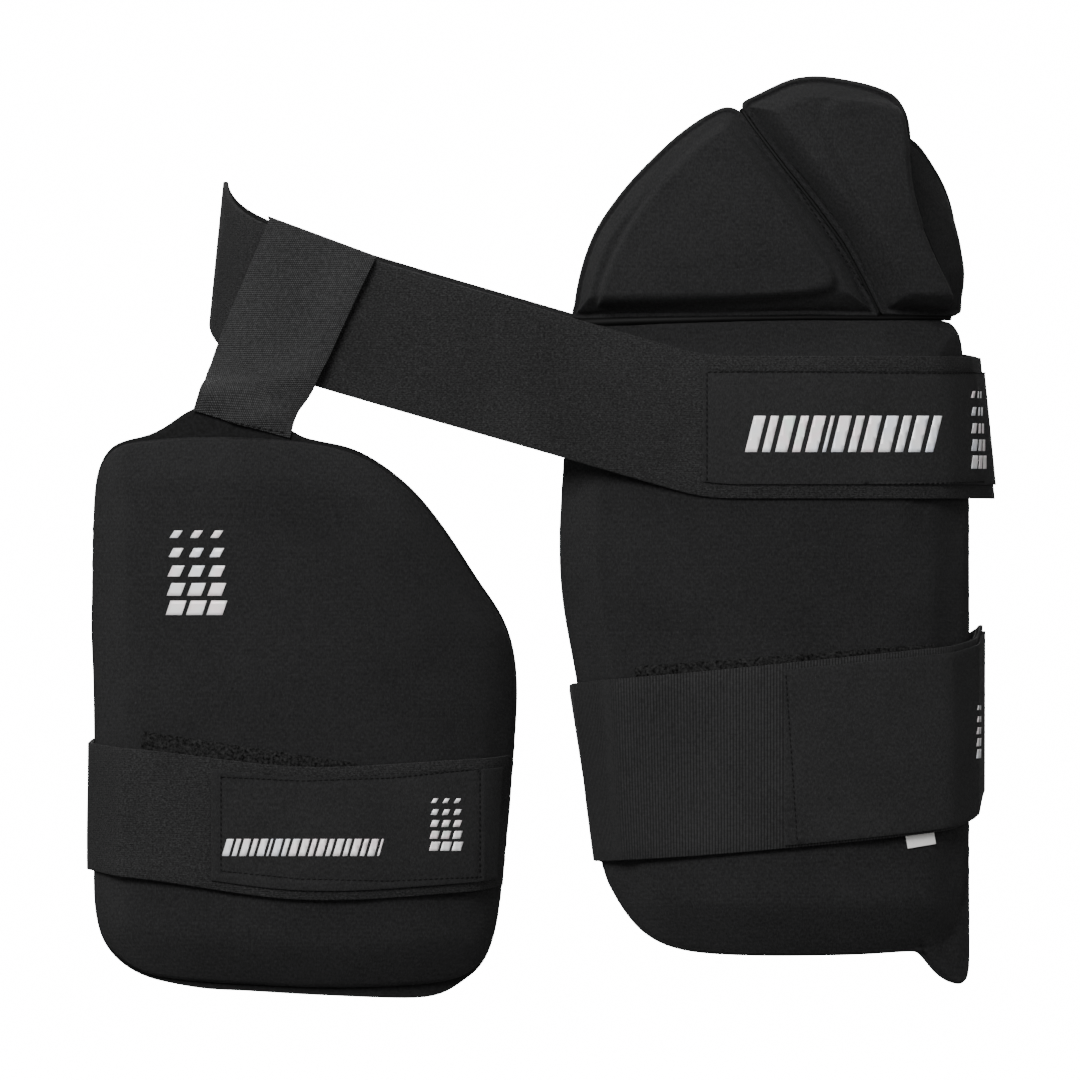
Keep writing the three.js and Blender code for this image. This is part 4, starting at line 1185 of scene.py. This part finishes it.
# Belt, straps and panels: the middle each runs round, its cloth and its fineness
BELT_MIDDLE = (-3.3 * MM, 0)
THIGH_MIDDLE = (95.65 * MM, 0)
INNER_MIDDLE = (-156 * MM, 0)
HANGER_MIDDLE = (-156 * MM, 0.25)
LOOPS = {
    "waist_belt": (BELT_MIDDLE, "elastic", 2),
    "thigh_strap": (THIGH_MIDDLE, "ribs", 2),
    "inner_strap": (INNER_MIDDLE, "elastic", 2),
    "waist_belt_panel": (BELT_MIDDLE, "panel", 3),
    "thigh_strap_panel": (THIGH_MIDDLE, "panel", 3),
    "inner_strap_panel": (INNER_MIDDLE, "panel", 3),
    "thigh_pile": (THIGH_MIDDLE, "pile", 2),
    "inner_pile": (INNER_MIDDLE, "pile", 2),
    "hanger_strap": (HANGER_MIDDLE, "webbing", 3),
    "care_label": (THIGH_MIDDLE, "label", 2),
}
cloths = {}
for node, (centre, cloth, levels) in LOOPS.items():
    piece = copy_of(node, node + "_cloth")
    round_out(piece, levels)
    soften_edges(piece, LABEL_ROUND if node == "care_label" else EDGE_ROUND)
    lay_loop_flat(piece, centre)
    cloths[node] = finish_piece(piece, slots[node], CLOTHS[cloth], node)

# Folds in the hanger: their lines in the photograph, rise and width
FOLDS = [
    ([(207, 395), (262, 386), (315, 370)], 4.2 * MM, 10 * MM),
    ([(236, 423), (262, 418), (290, 410)], 1.8 * MM, 6 * MM),
    ([(361, 276), (340, 326), (317, 380)], 4.2 * MM, 13 * MM),
]
still = surface(cloths["hanger_strap"])
for knots, rise, width in FOLDS:
    fold(cloths["hanger_strap"], trace(still, knots), rise, width)

# Pressed seams, raised hems and stitching: each line with the way to its hem, right and down
SEAMS = {
    "waist_belt_panel": [
        ([(707, 372), (800, 372), (900, 373), (986, 373)], (0, -3.5)),
        ([(707, 484), (800, 485), (900, 484), (986, 482)], (0, 3.5)),
        ([(707, 372), (707, 484)], (-3, 0)),
    ],
    "thigh_strap_panel": [([(786, 674), (798, 852)], (3, 0))],
    "inner_strap_panel": [
        ([(221, 777), (300, 781), (390, 778), (482, 769)], (0, -3.5)),
        ([(221, 871), (300, 879), (390, 881), (482, 877)], (0, 3.5)),
        ([(221, 775), (221, 873)], (-4, 0)),
        ([(480, 769), (480, 877)], (4, 0)),
    ],
}
for node, seams in SEAMS.items():
    still = surface(cloths[node])
    dips = [trace(still, knots) for knots, _ in seams]
    hems = [trace(still, shifted(knots, *way)) for knots, way in seams]
    for line in hems:
        press(cloths[node], line, -0.45 * MM, 1.6 * MM, STITCH_PITCH)
    for line in dips:
        press(cloths[node], line, 0.75 * MM, 1.1 * MM, STITCH_PITCH)
    pressed = surface(cloths[node])
    sew(node + "_stitching", [trace(pressed, knots) for knots, _ in seams], slots[node])
hips = surface(covers["front_hip_pad"], covers["side_hip_pad"])
hip_seam = trace(hips, [(747, 113), (820, 222), (879, 310)])
sew("hip_seam_stitching", [hip_seam], "pad_cloth", 3.6 * MM)
hanger_foot = trace(surface(cloths["hanger_strap"]), [(192, 414), (285, 433)])
sew("hanger_foot_stitching", [hanger_foot], "webbing_cloth")

# Small loops along the thigh strap's edges
edges = [loop_edge(cloths["thigh_strap"], THIGH_MIDDLE, upper) for upper in (True, False)]
shape, faces = bead("picot", 1.3 * MM, 0.8 * MM, 0)
picots = [place for line in edges for place in paced(line, 1.7 * MM)]
picot_rows = repeat("thigh_strap_picots", shape, faces, picots, 0)
finish_piece(picot_rows, "elastic_cloth", CLOTHS["thread"])

# Prints: plain slanted bars and blocks in silver foil, in the photograph's pixels or metres of strap
BARS = [3, 2, 3, 2, 3, 0.9, 3, 2, 3, 3, 2, 3, 2]
belt_front = seen_on(cloths["waist_belt_panel"])
strap_front = seen_on(cloths["inner_strap_panel"])
foil("belt_bars", belt_front, slanted_bars(745, 942, 416, 452, BARS, 1.3, 9))
foil("guard_blocks", seen_on(covers["inner_pad"]), blocks(166, 227, 525, 617, 3, 5))
foil("strap_bars", strap_front, slanted_bars(222, 384, 839, 856, BARS + BARS[:6], 1.3, 5))
foil("strap_blocks", strap_front, blocks(429, 463, 795, 852, 3, 5))
belt_side = run_on(cloths["waist_belt_panel"], BELT_MIDDLE, 969, 386)
foil("belt_side_blocks", belt_side, blocks(0, 0.028, 0, 0.044, 3, 5), 0.002)
thigh_side = run_on(cloths["thigh_strap_panel"], THIGH_MIDDLE, 976, 702)
foil("thigh_side_blocks", thigh_side, blocks(0, 0.019, 0, 0.03, 3, 5), 0.002)

# Fibres of the two pile strips, each strip with its own seed
fuzz("thigh_pile_fibres", cloths["thigh_pile"], 5000, 0.9 * MM, "pile_cloth", 5)
fuzz("inner_pile_fibres", cloths["inner_pile"], 4000, 0.8 * MM, "pile_cloth", 6)
